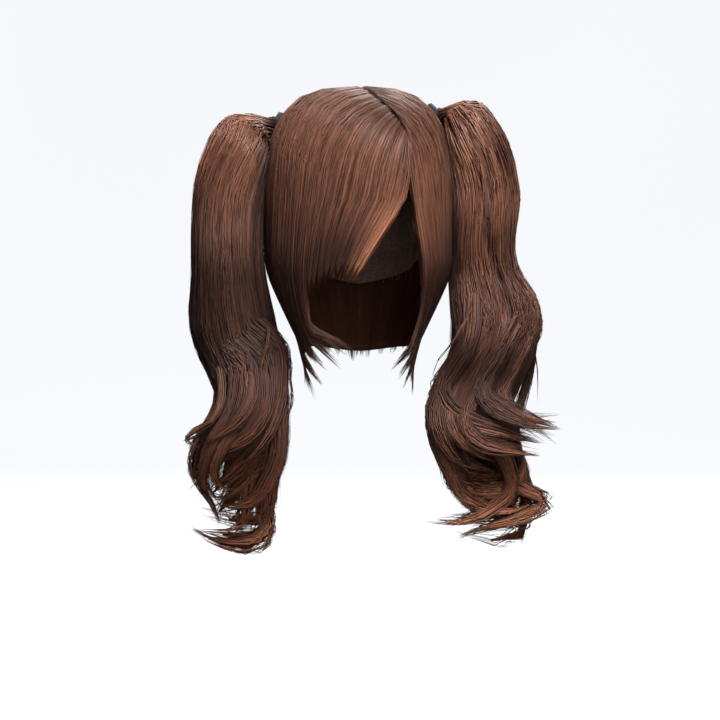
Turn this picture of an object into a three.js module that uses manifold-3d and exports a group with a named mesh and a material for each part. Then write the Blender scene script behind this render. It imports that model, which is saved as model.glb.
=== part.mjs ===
import * as THREE from 'three';
import Module from 'manifold-3d';

// Pigtail wig in millimetres. The origin is the inside top of the cap, +Z is up, the face
// opening looks along -Y, and +X is the right of the front view.

// Named sizes
const cap_breadth = 154;          // inside the cap, across the ears
const cap_length = 196;           // inside the cap, forehead to back
const crown_height = 97;          // from the widest level up to the inside top
const cap_wall = 1.5;
const piece_gap = 0.4;            // clear distance between neighbouring pieces
const side_hair_depth = 8;        // hair standing over the cap at the sides
const front_hair_depth = 9;       // hair standing over the cap at front and back
const top_hair_depth = 9.5;       // hair standing over the cap at the crown
const fall_length = 97;           // drop that counts as one level below the widest level
const facet_room = 0.013;         // room for flat facets between cap and hair, share of the crown
const parting_width = 3;
const tail_length = 405;
const tail_width = 84;
const tail_depth = 84;
const lock_width = 30;
const lock_depth = 18;
const clip_width = 14;
const clip_depth = 4;

// Form of the cap and of the dressed hair: 2 is an ellipse, more is squarer
const cap_roundness = 2.3;
const hair_roundness = 2.75;

// How far the hanging hair draws in towards the neck, as a share of its distance out
const front_tuck = 0.08;
const side_tuck = 0.43;
const tuck_from = 1.62;
const tuck_span = 0.83;

// Lower edge of the cap: turn from the front in degrees, level as a share of the quarter round
const cap_edge = [
  { turn: 0, level: 0.62 },
  { turn: 36, level: 0.7 },
  { turn: 62, level: 1.14 },
  { turn: 84, level: 1.2 },
  { turn: 106, level: 1.08 },
  { turn: 135, level: 1.36 },
  { turn: 180, level: 1.48 },
];

// Flow lines of the hair in order round the head, from the front of the parting over the left,
// round the back and up to the front of the parting again. root: place along the loop of the
// parting. quarter to tip: turn in degrees at these shares of the line. low: level of its end.
const flow_lines = [
  { name: 'fringe_edge', root: 0.0, quarter: 23, half: 5, most: -11, near: -15, tip: -16, low: 2.45 },
  { name: 'fringe_middle', root: 0.09, quarter: -1, half: -12, most: -19, near: -22, tip: -22, low: 2.45 },
  { name: 'temple', root: 0.17, quarter: -23, half: -30.5, most: -33, near: -28, tip: 0, low: 2.43 },
  { name: 'cheek_left', root: 0.27, quarter: -38, half: -44, most: -45, near: -35, tip: -16, low: 2.52 },
  { name: 'jaw_left', root: 0.36, quarter: -58, half: -63, most: -66, near: -50, tip: -28, low: 2.82 },
  { name: 'ear_left', root: 0.43, quarter: -86, half: -90, most: -92, near: -92, tip: -90, low: 2.5 },
  { name: 'nape_left', root: 0.465, quarter: -124, half: -128, most: -130, near: -131, tip: -132, low: 2.46 },
  { name: 'nape_middle', root: 0.5, quarter: -180, half: -180, most: -180, near: -180, tip: -180, low: 2.5 },
  { name: 'nape_right', root: 0.535, quarter: -236, half: -232, most: -230,
    near: -229, tip: -228, low: 2.46 },
  { name: 'ear_right', root: 0.6, quarter: -274, half: -270, most: -268, near: -268, tip: -270, low: 2.5 },
  { name: 'jaw_right', root: 0.72, quarter: -296, half: -294, most: -290, near: -292, tip: -306, low: 2.74 },
  { name: 'cheek_right', root: 0.86, quarter: -312, half: -306, most: -304,
    near: -312, tip: -328, low: 2.68 },
  { name: 'face_right', root: 1.0, quarter: -324.5, half: -318.5, most: -316,
    near: -325, tip: -341, low: 2.53 },
];
const station_shares = [0, 0.25, 0.5, 0.75, 0.9, 1];

// The parting on the flattened crown: right and ahead are shares of a quarter round
const parting_points = [
  { right: 0.405, ahead: 0.6 },
  { right: 0.137, ahead: 0.4 },
  { right: 0.02, ahead: 0.16 },
  { right: -0.05, ahead: -0.22 },
];

// Hair panels: first and last flow line, locks across, rows along, and where the hair ends at
// each of the panel's flow lines as a share of the line
const hair_panels = {
  fringe: { first: 0, last: 2, locks: 5, rows: 8, ends: [0.575, 0.635, 8 / 11] },
  side_hair_left: { first: 2, last: 5, locks: 4, rows: 11, ends: [1, 1, 1, 1] },
  back_hair: { first: 5, last: 9, locks: 7, rows: 11, ends: [1, 1, 1, 1, 1] },
  side_hair_right: { first: 9, last: 12, locks: 4, rows: 11, ends: [1, 1, 1, 1] },
};
const columns_per_lock = 4;
const groove = 0.3;               // depth of the grooves between locks, share of the hair depth
const tip_notch = 0.05;           // how much earlier the hair ends between locks

// Clips: turn from the front, and upper and lower level on the side of the crown. rise: how far
// the tail's top stands over the clip's upper end, as a share of the tail length
const clip_places = {
  left: { turn: -94, top: 0.52, bottom: 0.95, rise: 0.0 },
  right: { turn: 92, top: 0.44, bottom: 0.95, rise: 0.016 },
};

const root_drop = 0.1;            // levels from the clip's upper end down to the highest lock root

// Body of each tail, a row for each section. down: share of the tail length. out and fore:
// centre outward of the head's side and forward, shares of the width and the depth.
// wide and deep: half sizes as shares of the width and the depth.
const tail_bodies = {
  left: [
    { down: 0.012, out: 0.157, fore: 0.1, wide: 0.19, deep: 0.22 },
    { down: 0.034, out: 0.179, fore: 0.11, wide: 0.336, deep: 0.34 },
    { down: 0.068, out: 0.217, fore: 0.12, wide: 0.374, deep: 0.42 },
    { down: 0.136, out: 0.309, fore: 0.14, wide: 0.412, deep: 0.47 },
    { down: 0.203, out: 0.358, fore: 0.16, wide: 0.407, deep: 0.48 },
    { down: 0.293, out: 0.374, fore: 0.18, wide: 0.391, deep: 0.46 },
    { down: 0.383, out: 0.352, fore: 0.21, wide: 0.412, deep: 0.46 },
    { down: 0.451, out: 0.336, fore: 0.25, wide: 0.472, deep: 0.48 },
    { down: 0.518, out: 0.282, fore: 0.31, wide: 0.48, deep: 0.48 },
    { down: 0.588, out: 0.157, fore: 0.37, wide: 0.412, deep: 0.44 },
    { down: 0.653, out: 0.108, fore: 0.42, wide: 0.36, deep: 0.4 },
    { down: 0.725, out: 0.168, fore: 0.45, wide: 0.423, deep: 0.4 },
    { down: 0.788, out: 0.22, fore: 0.46, wide: 0.46, deep: 0.4 },
    { down: 0.856, out: 0.276, fore: 0.46, wide: 0.391, deep: 0.38 },
  ],
  right: [
    { down: 0.012, out: 0.02, fore: 0.02, wide: 0.25, deep: 0.22 },
    { down: 0.034, out: 0.05, fore: 0.03, wide: 0.337, deep: 0.34 },
    { down: 0.06, out: 0.138, fore: 0.03, wide: 0.348, deep: 0.4 },
    { down: 0.117, out: 0.247, fore: 0.04, wide: 0.37, deep: 0.45 },
    { down: 0.184, out: 0.301, fore: 0.06, wide: 0.392, deep: 0.47 },
    { down: 0.229, out: 0.323, fore: 0.08, wide: 0.392, deep: 0.47 },
    { down: 0.32, out: 0.296, fore: 0.12, wide: 0.354, deep: 0.46 },
    { down: 0.41, out: 0.318, fore: 0.17, wide: 0.397, deep: 0.46 },
    { down: 0.455, out: 0.416, fore: 0.2, wide: 0.48, deep: 0.47 },
    { down: 0.511, out: 0.448, fore: 0.25, wide: 0.5, deep: 0.47 },
    { down: 0.557, out: 0.439, fore: 0.3, wide: 0.449, deep: 0.45 },
    { down: 0.602, out: 0.307, fore: 0.35, wide: 0.405, deep: 0.43 },
    { down: 0.647, out: 0.176, fore: 0.4, wide: 0.441, deep: 0.42 },
    { down: 0.692, out: 0.133, fore: 0.43, wide: 0.43, deep: 0.41 },
    { down: 0.737, out: 0.187, fore: 0.45, wide: 0.44, deep: 0.4 },
    { down: 0.793, out: 0.285, fore: 0.46, wide: 0.45, deep: 0.4 },
    { down: 0.854, out: 0.388, fore: 0.46, wide: 0.4, deep: 0.38 },
  ],
};

// Locks of each tail. around: degrees round the body, 0 outward, 90 forward. joins and leaves:
// shares of the tail length between which the lock lies on the body. Then its bend, sweep and
// tip: out as a share of the width, down as a share of the length. fore: share of the depth.
// size: share of the full lock section.
const tail_locks = {
  left: [
    { around: 0, joins: 0.012, leaves: 0.653, bend: [0.56, 0.757], sweep: [0.63, 0.82],
      tip: [0.46, 0.93], fore: 0.5, size: 0.9 },
    { around: 30, joins: 0.034, leaves: 0.653, bend: [0.31, 0.711], sweep: [0.58, 0.76],
      tip: [0.75, 0.815], fore: 0.8, size: 0.95 },
    { around: 62, joins: 0.068, leaves: 0.588, bend: [-0.02, 0.691], sweep: [0.31, 0.755],
      tip: [0.69, 0.84], fore: 0.9, size: 1 },
    { around: 95, joins: 0.136, leaves: 0.588, bend: [-0.16, 0.673], sweep: [0.06, 0.765],
      tip: [0.58, 0.86], fore: 0.85, size: 1 },
    { around: 128, joins: 0.203, leaves: 0.653, bend: [-0.2, 0.75], sweep: [-0.04, 0.85],
      tip: [0.55, 0.9], fore: 0.7, size: 1 },
    { around: 158, joins: 0.293, leaves: 0.725, bend: [-0.04, 0.86], sweep: [-0.06, 0.95],
      tip: [0.8, 0.94], fore: 0.5, size: 0.85 },
    { around: 195, joins: 0.293, leaves: 0.383, bend: [-0.18, 0.53], sweep: [-0.16, 0.6],
      tip: [0.05, 0.7], fore: 0.0, size: 0.8 },
    { around: 228, joins: 0.203, leaves: 0.725, bend: [0.02, 0.88], sweep: [-0.08, 0.965],
      tip: [0.08, 1], fore: 0.3, size: 0.7 },
    { around: 268, joins: 0.136, leaves: 0.788, bend: [0.3, 0.86], sweep: [0.5, 0.9],
      tip: [0.22, 0.95], fore: 0.2, size: 1 },
    { around: 312, joins: 0.034, leaves: 0.588, bend: [0.5, 0.711], sweep: [0.69, 0.745],
      tip: [0.56, 0.8], fore: 0.2, size: 0.7 },
  ],
  right: [
    { around: 0, joins: 0.012, leaves: 0.647, bend: [0.5, 0.7], sweep: [0.74, 0.73],
      tip: [1.1, 0.745], fore: 0.4, size: 0.8 },
    { around: 35, joins: 0.034, leaves: 0.602, bend: [0.26, 0.68], sweep: [0.54, 0.73],
      tip: [1.03, 0.76], fore: 0.8, size: 0.95 },
    { around: 68, joins: 0.06, leaves: 0.511, bend: [-0.2, 0.655], sweep: [0.06, 0.73],
      tip: [0.86, 0.79], fore: 0.95, size: 1 },
    { around: 100, joins: 0.117, leaves: 0.647, bend: [-0.24, 0.73], sweep: [-0.06, 0.81],
      tip: [0.42, 0.84], fore: 0.9, size: 1 },
    { around: 132, joins: 0.184, leaves: 0.737, bend: [-0.04, 0.86], sweep: [0.45, 0.9],
      tip: [0.76, 0.81], fore: 0.7, size: 1 },
    { around: 165, joins: 0.229, leaves: 0.692, bend: [-0.04, 0.84], sweep: [0.15, 0.92],
      tip: [0.65, 0.94], fore: 0.5, size: 1 },
    { around: 205, joins: 0.229, leaves: 0.41, bend: [0.0, 0.5], sweep: [0.03, 0.6],
      tip: [0.25, 0.7], fore: 0.1, size: 0.8 },
    { around: 250, joins: 0.117, leaves: 0.793, bend: [0.3, 0.86], sweep: [0.4, 0.92],
      tip: [0.1, 0.96], fore: 0.3, size: 1 },
    { around: 290, joins: 0.06, leaves: 0.793, bend: [0.68, 0.86], sweep: [0.36, 0.895],
      tip: [-0.11, 0.868], fore: 0.6, size: 0.85 },
    { around: 325, joins: 0.034, leaves: 0.793, bend: [0.8, 0.88], sweep: [0.8, 0.935],
      tip: [-0.04, 0.99], fore: 0.55, size: 0.75 },
    { around: 345, joins: 0.034, leaves: 0.793, bend: [0.62, 0.91], sweep: [0.2, 0.95],
      tip: [-0.32, 0.945], fore: 0.65, size: 0.75 },
  ],
};
const lock_sides = 5;
const lock_stations = 15;
const body_sides = 12;
const cap_columns = 24;
const cap_rows = 7;

// Colours seen in the photo
const hair_colour = 0x6b4a3f;
const cap_colour = 0x2a201d;
const clip_colour = 0x15151a;

const wasm = await Module();
wasm.setup();

const quarter = Math.PI / 2;
const radians = Math.PI / 180;

function clamp(value, low, high) {
  return Math.min(Math.max(value, low), high);
}

function mix(from, to, share) {
  return from + (to - from) * share;
}

function ease(value, low, high) {
  const share = clamp((value - low) / (high - low), 0, 1);
  return share * share * (3 - 2 * share);
}

// Cubic through four neighbouring values, evenly spaced
function cubic(before, from, to, after, share) {
  const slope_in = (to - before) / 2;
  const slope_out = (after - from) / 2;
  const s2 = share * share;
  const s3 = s2 * share;
  return (2 * s3 - 3 * s2 + 1) * from + (s3 - 2 * s2 + share) * slope_in
    + (3 * s2 - 2 * s3) * to + (s3 - s2) * slope_out;
}

// Smooth value through a list of values at whole steps
function along_list(values, place) {
  const last = values.length - 1;
  const index = clamp(Math.floor(place), 0, last - 1);
  const at = (k) => values[clamp(k, 0, last)];
  return cubic(at(index - 1), at(index), at(index + 1), at(index + 2), place - index);
}

// Smooth value through values at uneven places
function along_places(places, values, place) {
  const last = places.length - 1;
  let index = 0;
  while (index < last - 1 && place > places[index + 1]) {
    index += 1;
  }
  const slope = (k) => {
    const low = Math.max(k - 1, 0);
    const high = Math.min(k + 1, last);
    return (values[high] - values[low]) / (places[high] - places[low]);
  };
  const span = places[index + 1] - places[index];
  const s = (place - places[index]) / span;
  const s2 = s * s;
  const s3 = s2 * s;
  return (2 * s3 - 3 * s2 + 1) * values[index] + (s3 - 2 * s2 + s) * slope(index) * span
    + (3 * s2 - 2 * s3) * values[index + 1] + (s3 - s2) * slope(index + 1) * span;
}

// How much the hanging hair has drawn in at a turn and level
function tuck_at(turn, level) {
  const away = Math.abs(Math.atan2(Math.sin(turn), Math.cos(turn))) / radians;
  const full = mix(front_tuck, side_tuck, ease(away, 25, 80));
  return full * clamp((level - tuck_from) / tuck_span, 0, 1.15);
}

// Point of the dressed form. out 0 is just off the cap and 1 is the outside of the hair, and
// grow moves it outward by a distance.
function hair_point(turn, level, out, grow = 0) {
  const power = 2 / mix(cap_roundness, hair_roundness, out);
  const inner = cap_wall + piece_gap + facet_room * crown_height + grow;
  const breadth = cap_breadth / 2 + inner + out * side_hair_depth;
  const length = cap_length / 2 + inner + out * front_hair_depth;
  const height = crown_height + inner + out * top_hair_depth;
  const rise = clamp(level, 0.0001, 1) * quarter;
  const ring = Math.pow(Math.sin(rise), power);
  const drawn = level > 1 ? 1 - tuck_at(turn, level) : ring;
  const z = level > 1
    ? -crown_height - (level - 1) * fall_length
    : -crown_height + height * Math.pow(Math.max(Math.cos(rise), 0), power);
  return new THREE.Vector3(breadth * drawn * Math.sin(turn), -length * drawn * Math.cos(turn), z);
}

// Closed solid from two matching grids of points, one outside and one inside
function shell_mesh(outside, inside) {
  const columns = outside.length;
  const rows = outside[0].length;
  const points = [...outside.flat(), ...inside.flat()];
  const offset = columns * rows;
  const faces = [];
  const quad = (a, b, c, d) => faces.push(a, b, c, a, c, d);
  for (let i = 0; i < columns - 1; i += 1) {
    const next = i + 1;
    for (let j = 0; j < rows - 1; j += 1) {
      quad(i * rows + j, i * rows + j + 1, next * rows + j + 1, next * rows + j);
      quad(offset + i * rows + j, offset + next * rows + j, offset + next * rows + j + 1,
        offset + i * rows + j + 1);
    }
    const top = [i * rows, next * rows];
    const low = [i * rows + rows - 1, next * rows + rows - 1];
    quad(top[0], top[1], offset + top[1], offset + top[0]);
    quad(low[0], offset + low[0], offset + low[1], low[1]);
  }
  for (let j = 0; j < rows - 1; j += 1) {
    const end = (columns - 1) * rows + j;
    quad(j, offset + j, offset + j + 1, j + 1);
    quad(end, end + 1, offset + end + 1, offset + end);
  }
  return { points, faces };
}

function to_geometry(mesh) {
  const geometry = new THREE.BufferGeometry();
  const flat = mesh.points.flatMap((point) => [point.x, point.y, point.z]);
  geometry.setAttribute('position', new THREE.Float32BufferAttribute(flat, 3));
  geometry.setIndex(mesh.faces);
  geometry.computeVertexNormals();
  return geometry;
}

// The parting as a closed narrow loop on the flattened crown, 0 and 1 at its front end
function parting_loop(place) {
  const side = place < 0.5 ? -1 : 1;
  const share = 1 - Math.abs(2 * place - 1);
  const steps = parting_points.length - 1;
  const rights = parting_points.map((point) => point.right);
  const aheads = parting_points.map((point) => point.ahead);
  const right = along_list(rights, share * steps);
  const ahead = along_list(aheads, share * steps);
  const slip = 0.02;
  const run_right = along_list(rights, share * steps + slip) - along_list(rights, share * steps - slip);
  const run_ahead = along_list(aheads, share * steps + slip) - along_list(aheads, share * steps - slip);
  const run = Math.hypot(run_right, run_ahead);
  const round_end = clamp((share - 0.86) / 0.14, 0, 1);
  const half = (parting_width / crown_height / quarter) / 2 * Math.sqrt(1 - round_end * round_end);
  return {
    right: right - side * (run_ahead / run) * half,
    ahead: ahead + side * (run_right / run) * half,
  };
}

// Turn and level on the flow line at a place across the flow lines and a share along it
function flow_place(across, share) {
  const loop = along_list(flow_lines.map((line) => line.root), across);
  const root = parting_loop(clamp(loop, 0, 1));
  const root_level = Math.hypot(root.right, root.ahead);
  const low = along_list(flow_lines.map((line) => line.low), across);
  const columns = ['quarter', 'half', 'most', 'near', 'tip'];
  const rights = [root.right];
  const aheads = [root.ahead];
  columns.forEach((column, k) => {
    const turn = along_list(flow_lines.map((line) => line[column]), across) * radians;
    const level = mix(root_level, low, station_shares[k + 1]);
    rights.push(level * Math.sin(turn));
    aheads.push(level * Math.cos(turn));
  });
  const right = along_places(station_shares, rights, share);
  const ahead = along_places(station_shares, aheads, share);
  return { turn: Math.atan2(right, ahead), level: Math.hypot(right, ahead) };
}

// One hair panel between two flow lines, grooved into locks with pointed ends
function hair_panel(panel) {
  const columns = panel.locks * columns_per_lock;
  const layers = [[], []];
  for (let i = 0; i <= columns; i += 1) {
    const across = mix(panel.first, panel.last, i / columns);
    const between = Math.abs(((i / columns_per_lock) % 1) * 2 - 1);
    const at_side = i === 0 || i === columns;
    const notch = at_side ? 0 : tip_notch * Math.pow(between, 2);
    const end = along_list(panel.ends, across - panel.first) - notch;
    const outer = [];
    const inner = [];
    for (let j = 0; j <= panel.rows; j += 1) {
      const share = end * (j / panel.rows);
      const place = flow_place(across, share);
      const rise = mix(0.72, 1, ease(share, 0, 0.14));
      const dip = groove * Math.pow(between, 3)
        * mix(0.45, 1, ease(place.level, 0.8, 2)) * ease(share, 0, 0.3);
      const thin = ease(share / end, 0.72, 1);
      const out = (rise - dip * (at_side ? 1.2 : 1)) * mix(1, 0.88, thin);
      const hang = 0.6 * ease(place.level, 1.25, 2.1);
      const back = Math.min(mix(hang, out - 0.16, thin), out - 0.16);
      outer.push(hair_point(place.turn, place.level, out));
      const crown = 0.2 * (1 - ease(place.level, 0.45, 0.9));
      inner.push(hair_point(place.turn, place.level, Math.max(back, crown)));
    }
    layers[0].push(outer);
    layers[1].push(inner);
  }
  for (const grid of layers) {
    pull_in(grid[0], grid[1], piece_gap / 2);
    pull_in(grid[columns], grid[columns - 1], piece_gap / 2);
  }
  const solid = to_manifold(outward_faces(shell_mesh(layers[0], layers[1])));
  return from_manifold(solid.subtract(to_manifold(cap_room())));
}

// Move an edge row of points towards its neighbour row by a distance
function pull_in(edge, neighbour, distance) {
  edge.forEach((point, j) => {
    const step = neighbour[j].clone().sub(point);
    point.add(step.setLength(distance));
  });
}

// Points of one skin of the cap, a column for each turn from near the top to the lower edge
function cap_skin(grow) {
  const turns = cap_edge.map((row) => row.turn);
  const levels = cap_edge.map((row) => row.level);
  const power = 2 / cap_roundness;
  const grid = [];
  for (let i = 0; i < cap_columns; i += 1) {
    const turn = (i / cap_columns) * 360;
    const edge = along_places(turns, levels, Math.min(turn, 360 - turn));
    for (let j = 0; j <= cap_rows; j += 1) {
      const rise = mix(0.04, edge, j / cap_rows) * quarter;
      const ring = Math.pow(Math.sin(rise), power);
      const height = Math.sign(Math.cos(rise)) * Math.pow(Math.abs(Math.cos(rise)), power);
      grid.push(new THREE.Vector3(
        (cap_breadth / 2 + grow) * ring * Math.sin(turn * radians),
        -(cap_length / 2 + grow) * ring * Math.cos(turn * radians),
        -crown_height + (crown_height + grow) * height,
      ));
    }
  }
  return grid;
}

// The net cap: two skins a wall apart, joined along the shaped lower edge
function wig_cap() {
  const points = [...cap_skin(cap_wall), ...cap_skin(0)];
  const per = cap_rows + 1;
  const offset = cap_columns * per;
  const faces = [];
  const quad = (a, b, c, d) => faces.push(a, b, c, a, c, d);
  for (let i = 0; i < cap_columns; i += 1) {
    const here = i * per;
    const next = ((i + 1) % cap_columns) * per;
    for (let j = 0; j < cap_rows; j += 1) {
      quad(here + j, here + j + 1, next + j + 1, next + j);
      quad(offset + here + j, offset + next + j, offset + next + j + 1, offset + here + j + 1);
    }
    quad(here + cap_rows, offset + here + cap_rows, offset + next + cap_rows, next + cap_rows);
    faces.push(points.length, here, next);
    faces.push(points.length + 1, offset + next, offset + here);
  }
  points.push(new THREE.Vector3(0, 0, cap_wall), new THREE.Vector3(0, 0, 0));
  return outward_faces({ points, faces });
}

// Solid that fills the cap and stands off it by a gap, to keep the hair clear of it
function cap_room() {
  const grow = cap_wall + piece_gap;
  const points = cap_skin(grow);
  const per = cap_rows + 1;
  const top = points.length;
  const faces = [];
  for (let i = 0; i < cap_columns; i += 1) {
    const here = i * per;
    const next = ((i + 1) % cap_columns) * per;
    for (let j = 0; j < cap_rows; j += 1) {
      faces.push(here + j, here + j + 1, next + j + 1);
      faces.push(here + j, next + j + 1, next + j);
    }
    faces.push(top, here, next);
    faces.push(top + 1, next + cap_rows, here + cap_rows);
  }
  points.push(new THREE.Vector3(0, 0, grow), new THREE.Vector3(0, 0, -crown_height));
  return outward_faces({ points, faces });
}

// Solid under the outside of the hair, grown by a distance, that keeps the tails clear of it
function clear_form(grow) {
  const around = 36;
  const levels = [0.04, 0.15, 0.28, 0.42, 0.56, 0.7, 0.85, 1, 1.3, 1.62, 1.9, 2.2, 2.5, 2.9];
  const points = [];
  const faces = [];
  for (let i = 0; i < around; i += 1) {
    for (const level of levels) {
      points.push(hair_point((i / around) * 2 * Math.PI, level, 1, grow));
    }
  }
  const per = levels.length;
  const top = points.length;
  points.push(hair_point(0, 0, 1, grow));
  points.push(new THREE.Vector3(0, 0, points[per - 1].z));
  for (let i = 0; i < around; i += 1) {
    const next = (i + 1) % around;
    for (let j = 0; j < per - 1; j += 1) {
      faces.push(i * per + j, i * per + j + 1, next * per + j + 1);
      faces.push(i * per + j, next * per + j + 1, next * per + j);
    }
    faces.push(top, i * per, next * per);
    faces.push(top + 1, next * per + per - 1, i * per + per - 1);
  }
  return outward_faces({ points, faces });
}

// One claw clip, a bowed bar lying on the side of the crown, with every side grown by a distance
function clip_bar(place, grow) {
  const stations = 9;
  const turn = place.turn * radians;
  const rings = [];
  for (let k = 0; k < stations; k += 1) {
    const share = k / (stations - 1);
    const level = mix(place.top, place.bottom, share);
    const slip = 0.01;
    const base = hair_point(turn, level, 1, piece_gap);
    const above = hair_point(turn, level - slip, 1, piece_gap);
    const below = hair_point(turn, level + slip, 1, piece_gap);
    const run = below.clone().sub(above).normalize();
    const past = (k === stations - 1 ? grow : 0) - (k === 0 ? grow : 0);
    base.addScaledVector(run, past);
    const across = new THREE.Vector3(0, 1, 0);
    const outward = run.clone().cross(across).normalize();
    outward.multiplyScalar(outward.x * base.x < 0 ? -1 : 1);
    const half = clip_width / 2 * mix(0.7, 1, Math.sin(share * Math.PI)) + grow;
    const inner = grow > 0 ? -clip_depth : 0;
    const crest = grow > 0 ? 1 : 0.8;
    const outer = clip_depth + grow;
    rings.push([
      base.clone().addScaledVector(across, -half).addScaledVector(outward, inner),
      base.clone().addScaledVector(across, -half * crest).addScaledVector(outward, outer),
      base.clone().addScaledVector(across, half * crest).addScaledVector(outward, outer),
      base.clone().addScaledVector(across, half).addScaledVector(outward, inner),
    ]);
  }
  return ring_mesh(rings);
}

// Closed solid through rings of points with equal counts, ends closed by fans
function ring_mesh(rings) {
  const count = rings[0].length;
  const points = rings.flat();
  const faces = [];
  const last = (rings.length - 1) * count;
  for (let k = 0; k < rings.length - 1; k += 1) {
    for (let i = 0; i < count; i += 1) {
      const next = (i + 1) % count;
      faces.push(k * count + i, k * count + next, (k + 1) * count + next);
      faces.push(k * count + i, (k + 1) * count + next, (k + 1) * count + i);
    }
  }
  for (let i = 1; i < count - 1; i += 1) {
    faces.push(0, i + 1, i);
    faces.push(last, last + i, last + i + 1);
  }
  return outward_faces({ points, faces });
}

// Turn all the faces over if the solid is inside out
function outward_faces(mesh) {
  let volume = 0;
  for (let f = 0; f < mesh.faces.length; f += 3) {
    const a = mesh.points[mesh.faces[f]];
    const b = mesh.points[mesh.faces[f + 1]];
    const c = mesh.points[mesh.faces[f + 2]];
    volume += a.dot(b.clone().cross(c));
  }
  if (volume < 0) {
    for (let f = 0; f < mesh.faces.length; f += 3) {
      [mesh.faces[f + 1], mesh.faces[f + 2]] = [mesh.faces[f + 2], mesh.faces[f + 1]];
    }
  }
  return mesh;
}

// Centre and half sizes of a tail's body at a share of its length
function tail_section(rows, down) {
  const places = rows.map((row) => row.down);
  const read = (column) => along_places(places, rows.map((row) => row[column]), down);
  return { out: read('out'), fore: read('fore'), wide: read('wide'), deep: read('deep') };
}

// Point of a tail from its shares. side is -1 for the left of the view and 1 for the right.
function tail_point(side, top, out, fore, down) {
  const flank = Math.abs(hair_point(quarter, 1, 1).x);
  return new THREE.Vector3(side * (flank + out * tail_width), -fore * tail_depth, top - down * tail_length);
}

// Centre line of one lock: from the clip on to the body, down it, and off into its own curl
function lock_path(side, top, body, lock, root) {
  const points = [root];
  const inset_wide = lock_depth * 0.5 / tail_width;
  const inset_deep = lock_depth * 0.5 / tail_depth;
  const angle = lock.around * radians;
  const on_body = (down) => {
    const section = tail_section(body, down);
    const wide = Math.max(section.wide - inset_wide, 0.05);
    const deep = Math.max(section.deep - inset_deep, 0.05);
    return tail_point(side, top, section.out + wide * Math.cos(angle),
      section.fore + deep * Math.sin(angle), down);
  };
  for (const row of body) {
    if (row.down >= lock.joins - 0.001 && row.down <= lock.leaves + 0.001) {
      points.push(on_body(row.down));
    }
  }
  const section = tail_section(body, lock.leaves);
  const fore_end = section.fore + (lock.fore - section.fore) * 0.9;
  const fore_start = section.fore + (section.deep - inset_deep) * Math.sin(angle);
  points.push(tail_point(side, top, lock.bend[0], mix(fore_start, fore_end, 0.4), lock.bend[1]));
  points.push(tail_point(side, top, lock.sweep[0], mix(fore_start, fore_end, 0.8), lock.sweep[1]));
  points.push(tail_point(side, top, lock.tip[0], fore_end, lock.tip[1]));
  return new THREE.CatmullRomCurve3(points, false, 'centripetal');
}

// Flat oval tube along a path, narrow at the root and pointed at the tip
function lock_mesh(path, size, start_normal) {
  const rings = [];
  let normal = start_normal.clone();
  for (let k = 0; k < lock_stations; k += 1) {
    const share = k / (lock_stations - 1);
    const centre = path.getPointAt(share);
    const run = path.getTangentAt(share);
    normal.addScaledVector(run, -normal.dot(run)).normalize();
    const across = run.clone().cross(normal).normalize();
    const body = mix(0.55, 1, ease(share, 0, 0.2)) * Math.sqrt(Math.max(1 - Math.pow(share, 5), 0.004));
    const ring = [];
    for (let i = 0; i < lock_sides; i += 1) {
      const angle = (i / lock_sides + 0.25) * 2 * Math.PI;
      const wide = Math.cos(angle) * lock_width / 2 * size * body;
      const deep = Math.sin(angle) * lock_depth / 2 * size * body;
      ring.push(centre.clone().addScaledVector(across, wide).addScaledVector(normal, deep));
    }
    rings.push(ring);
  }
  return ring_mesh(rings);
}

// Full core of a tail that the locks lie on
function core_mesh(side, top, body) {
  const rings = [];
  const stop = 0.9;
  const rows = body.filter((row) => row.down < stop);
  for (const row of rows) {
    const fade = mix(1, 0.7, ease(row.down, 0.7, stop));
    const wide = Math.max(row.wide - lock_depth * 0.5 / tail_width, 0.06) * fade;
    const deep = Math.max(row.deep - lock_depth * 0.5 / tail_depth, 0.06) * fade;
    const ring = [];
    for (let i = 0; i < body_sides; i += 1) {
      const angle = (i / body_sides) * 2 * Math.PI;
      ring.push(tail_point(side, top, row.out + wide * Math.cos(angle),
        row.fore + deep * Math.sin(angle), row.down));
    }
    rings.push(ring);
  }
  return ring_mesh(rings);
}

function to_manifold(mesh) {
  const flat = new Float32Array(mesh.points.flatMap((point) => [point.x, point.y, point.z]));
  const solid = new wasm.Mesh({ numProp: 3, vertProperties: flat, triVerts: new Uint32Array(mesh.faces) });
  solid.merge();
  return new wasm.Manifold(solid);
}

function from_manifold(solid) {
  const mesh = solid.getMesh();
  const points = [];
  for (let k = 0; k < mesh.vertProperties.length; k += mesh.numProp) {
    points.push(new THREE.Vector3(...mesh.vertProperties.slice(k, k + 3)));
  }
  return { points, faces: Array.from(mesh.triVerts) };
}

// Fill the pockets that are sealed in between fused locks: their walls are closed surfaces
// apart from the outside, and inside out
function fill_pockets(mesh) {
  const group = mesh.points.map((point, k) => k);
  const find = (k) => {
    while (group[k] !== k) {
      group[k] = group[group[k]];
      k = group[k];
    }
    return k;
  };
  for (let f = 0; f < mesh.faces.length; f += 3) {
    group[find(mesh.faces[f])] = find(mesh.faces[f + 1]);
    group[find(mesh.faces[f + 1])] = find(mesh.faces[f + 2]);
  }
  const volumes = new Map();
  for (let f = 0; f < mesh.faces.length; f += 3) {
    const [a, b, c] = [0, 1, 2].map((k) => mesh.points[mesh.faces[f + k]]);
    const key = find(mesh.faces[f]);
    volumes.set(key, (volumes.get(key) ?? 0) + a.dot(b.clone().cross(c)) / 6);
  }
  const faces = mesh.faces.filter((corner) => volumes.get(find(corner)) > 0);
  return { points: mesh.points, faces };
}

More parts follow.
